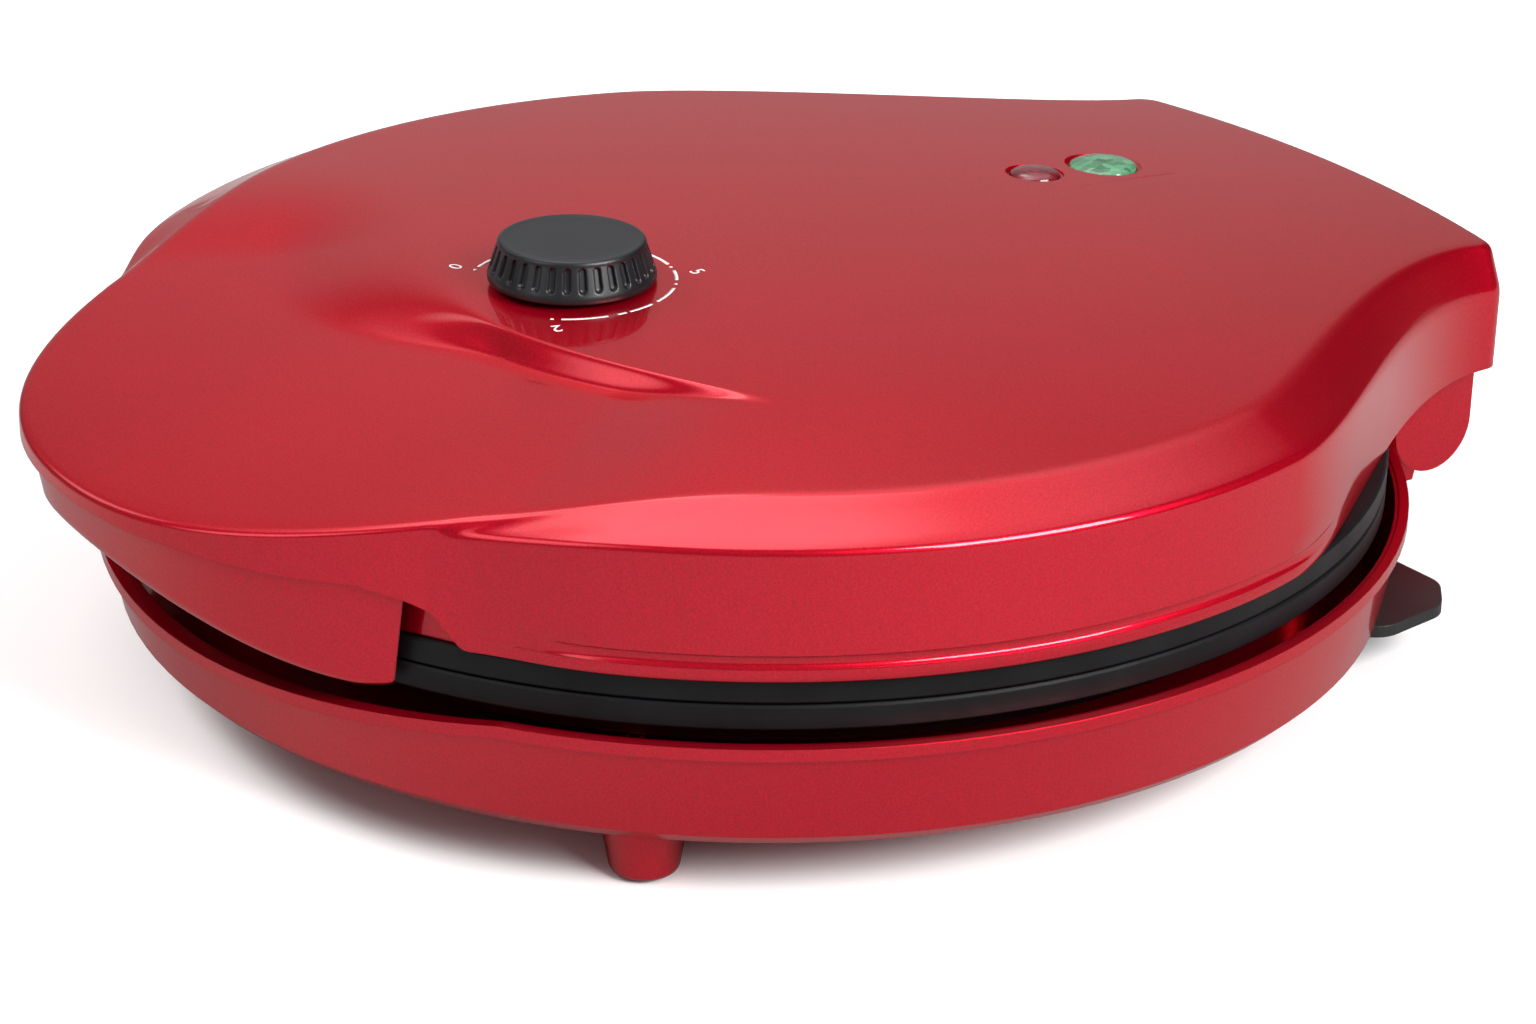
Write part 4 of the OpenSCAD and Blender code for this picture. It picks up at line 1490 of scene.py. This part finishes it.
@dataclass(frozen=True)
class Softbox:
    """Round glow of the room with a soft rim, which only glossy surfaces mirror."""

    towards: Vec3
    core_degrees: float
    rim_degrees: float
    strength: float

    def over(
        self, tree: bpy.types.NodeTree, looking: bpy.types.NodeSocket, behind: bpy.types.NodeSocket
    ) -> bpy.types.NodeSocket:
        """Add the glow to what lies behind it.

        Args:
            tree: The world's node tree.
            looking: Direction of the ray.
            behind: Level of light without this glow.

        Returns:
            Level of light with it.
        """
        near = add_node(
            tree, "ShaderNodeVectorMath", {"operation": "DOT_PRODUCT"},
            {0: looking, 1: tuple(Vector(self.towards).normalized())},
        ).outputs["Value"]
        glow = add_node(
            tree, "ShaderNodeMapRange",
            {"interpolation_type": "SMOOTHSTEP"},
            {
                "Value": near,
                "From Min": math.cos(math.radians(self.rim_degrees)),
                "From Max": math.cos(math.radians(self.core_degrees)),
                "To Min": 0.0,
                "To Max": self.strength,
            },
        ).outputs["Result"]
        return add_node(tree, "ShaderNodeMath", {"operation": "ADD"}, {0: behind, 1: glow}).outputs[0]


@dataclass(frozen=True)
class Lamp:
    """Soft rectangular lamp, which glossy surfaces mirror only if it is made so."""

    name: str
    place: Vec3
    size: Vec2
    watts: float
    mirrored: bool = False
    aim: Vec3 = (0.0, 0.0, 0.05)

    def hang(self) -> None:
        """Hang the lamp."""
        data = bpy.data.lights.new(self.name, "AREA")
        data.shape = "RECTANGLE"
        data.size, data.size_y = self.size
        data.energy = self.watts
        made = bpy.data.objects.new(self.name, data)
        made.location = self.place
        made.visible_glossy = self.mirrored
        direction = Vector(self.aim) - Vector(self.place)
        made.rotation_euler = direction.to_track_quat("-Z", "Y").to_euler()
        bpy.context.scene.collection.objects.link(made)


@dataclass
class Studio:
    """Plain pale floor, soft lamps and the camera."""

    eye: Vec3 = (0.7657, -0.4974, 0.4216)
    gaze: Vec3 = (-0.76719, 0.50335, -0.39757)
    upright: Vec3 = (-0.34262, 0.20241, 0.91741)
    lens_mm: float = 93.75
    floor_size: float = 8.0
    # colour of the floor to the camera, and to the light that bounces off it
    floor_seen: str = "#fdfdfd"
    floor_lit: str = "#a0a0a0"
    # level of the room's own light
    room: float = 0.38
    # what glossy surfaces mirror of it, in front and behind, and the direction of behind
    mirrored_front: float = 0.14
    mirrored_rear: float = 0.02
    rear: Vec3 = (0.35, 0.94, 0.0)
    lamps: tuple[Lamp, ...] = (
        Lamp("key", (0.62, -1.25, 1.95), (1.1, 0.8), 13),
        Lamp("right", (1.8, 0.5, 1.3), (1.3, 1.0), 76, True),
        Lamp("left", (-1.61, -0.9, 1.25), (0.9, 0.8), 42),
    )
    panels: tuple[Softbox, ...] = (
        Softbox((-0.32, 0.12, 0.94), 8.0, 19.0, 1.9),
        Softbox((-0.3, 0.25, 0.92), 12.0, 38.0, 1.0),
        Softbox((-0.62, 0.25, 0.74), 2.0, 9.0, 2.0),
        Softbox((-0.78, -0.22, 0.59), 3.0, 11.0, 1.6),
        Softbox((0.05, -0.81, 0.58), 12.0, 28.0, 2.0),
        Softbox((-0.87, 0.45, 0.15), 5.0, 34.0, 0.24),
    )

    def camera(self) -> None:
        """Place the camera."""
        data = bpy.data.cameras.new("camera")
        data.lens = self.lens_mm
        data.sensor_width = 36.0
        data.clip_start = 0.01
        made = bpy.data.objects.new("camera", data)
        bpy.context.scene.collection.objects.link(made)
        back = -Vector(self.gaze)
        up = Vector(self.upright)
        right = up.cross(back)
        made.matrix_world = Matrix.Translation(self.eye) @ Matrix((right, up, back)).transposed().to_4x4()
        bpy.context.scene.camera = made

    def floor(self) -> None:
        """Lay the floor."""
        builder = MeshBuilder()
        half = 500 * self.floor_size
        ring = builder.ring([(-half, -half, 0), (half, -half, 0), (half, half, 0), (-half, half, 0)])
        builder.mesh.faces.new(ring)
        material = bpy.data.materials.new("matt_white_paper")
        material.use_nodes = True
        tree = material.node_tree
        surface = tree.nodes["Principled BSDF"]
        seen = add_node(tree, "ShaderNodeLightPath").outputs["Is Camera Ray"]
        paper = add_node(
            tree, "ShaderNodeMix", {"data_type": "RGBA"},
            {0: seen, 6: linear(self.floor_lit), 7: linear(self.floor_seen)},
        )
        tree.links.new(paper.outputs[2], surface.inputs["Base Color"])
        surface.inputs["Roughness"].default_value = 0.9
        surface.inputs["Specular IOR Level"].default_value = 0.1
        made = builder.finish("floor", material)
        made.location.z = -0.0002

    def world(self) -> None:
        """Light the room: white where the camera looks past the floor, softer elsewhere."""
        world = bpy.data.worlds.new("studio")
        bpy.context.scene.world = world
        world.use_nodes = True
        tree = world.node_tree
        background = tree.nodes["Background"]
        path = add_node(tree, "ShaderNodeLightPath")
        seen = add_node(
            tree, "ShaderNodeMath", {"operation": "MAXIMUM"},
            {0: path.outputs["Is Camera Ray"], 1: path.outputs["Is Transmission Ray"]},
        )
        towards = add_node(tree, "ShaderNodeTexCoord").outputs["Generated"]
        rear = add_node(
            tree, "ShaderNodeVectorMath", {"operation": "DOT_PRODUCT"}, {0: towards, 1: self.rear}
        ).outputs["Value"]
        glossy = add_node(
            tree, "ShaderNodeMapRange",
            {"interpolation_type": "SMOOTHSTEP"},
            {
                "Value": rear,
                "From Min": 0.3,
                "From Max": 0.8,
                "To Min": self.mirrored_front,
                "To Max": self.mirrored_rear,
            },
        ).outputs["Result"]
        for panel in self.panels:
            glossy = panel.over(tree, towards, glossy)
        level = add_node(
            tree, "ShaderNodeMix", {"data_type": "FLOAT"},
            {0: path.outputs["Is Glossy Ray"], 2: self.room, 3: glossy},
        )
        strength = add_node(
            tree, "ShaderNodeMix", {"data_type": "FLOAT"}, {0: seen.outputs[0], 2: level.outputs[0], 3: 1.0}
        )
        background.inputs["Color"].default_value = (1, 1, 1, 1)
        tree.links.new(strength.outputs[0], background.inputs["Strength"])

    def build(self) -> None:
        """Set up the whole studio."""
        bpy.context.scene.view_settings.view_transform = "Standard"
        self.camera()
        self.floor()
        self.world()
        for lamp in self.lamps:
            lamp.hang()


def main() -> None:
    """Build every part of the scene in order."""
    logging.basicConfig(level=logging.INFO, format="%(message)s")
    palette = Palette()
    Studio().build()
    Dresser(palette).dress()
    LidCover(palette).build()
    HandleCover(palette).build()
    Knob(palette).build()
    DialPrint(palette).build()


if __name__ == "__main__":
    main()
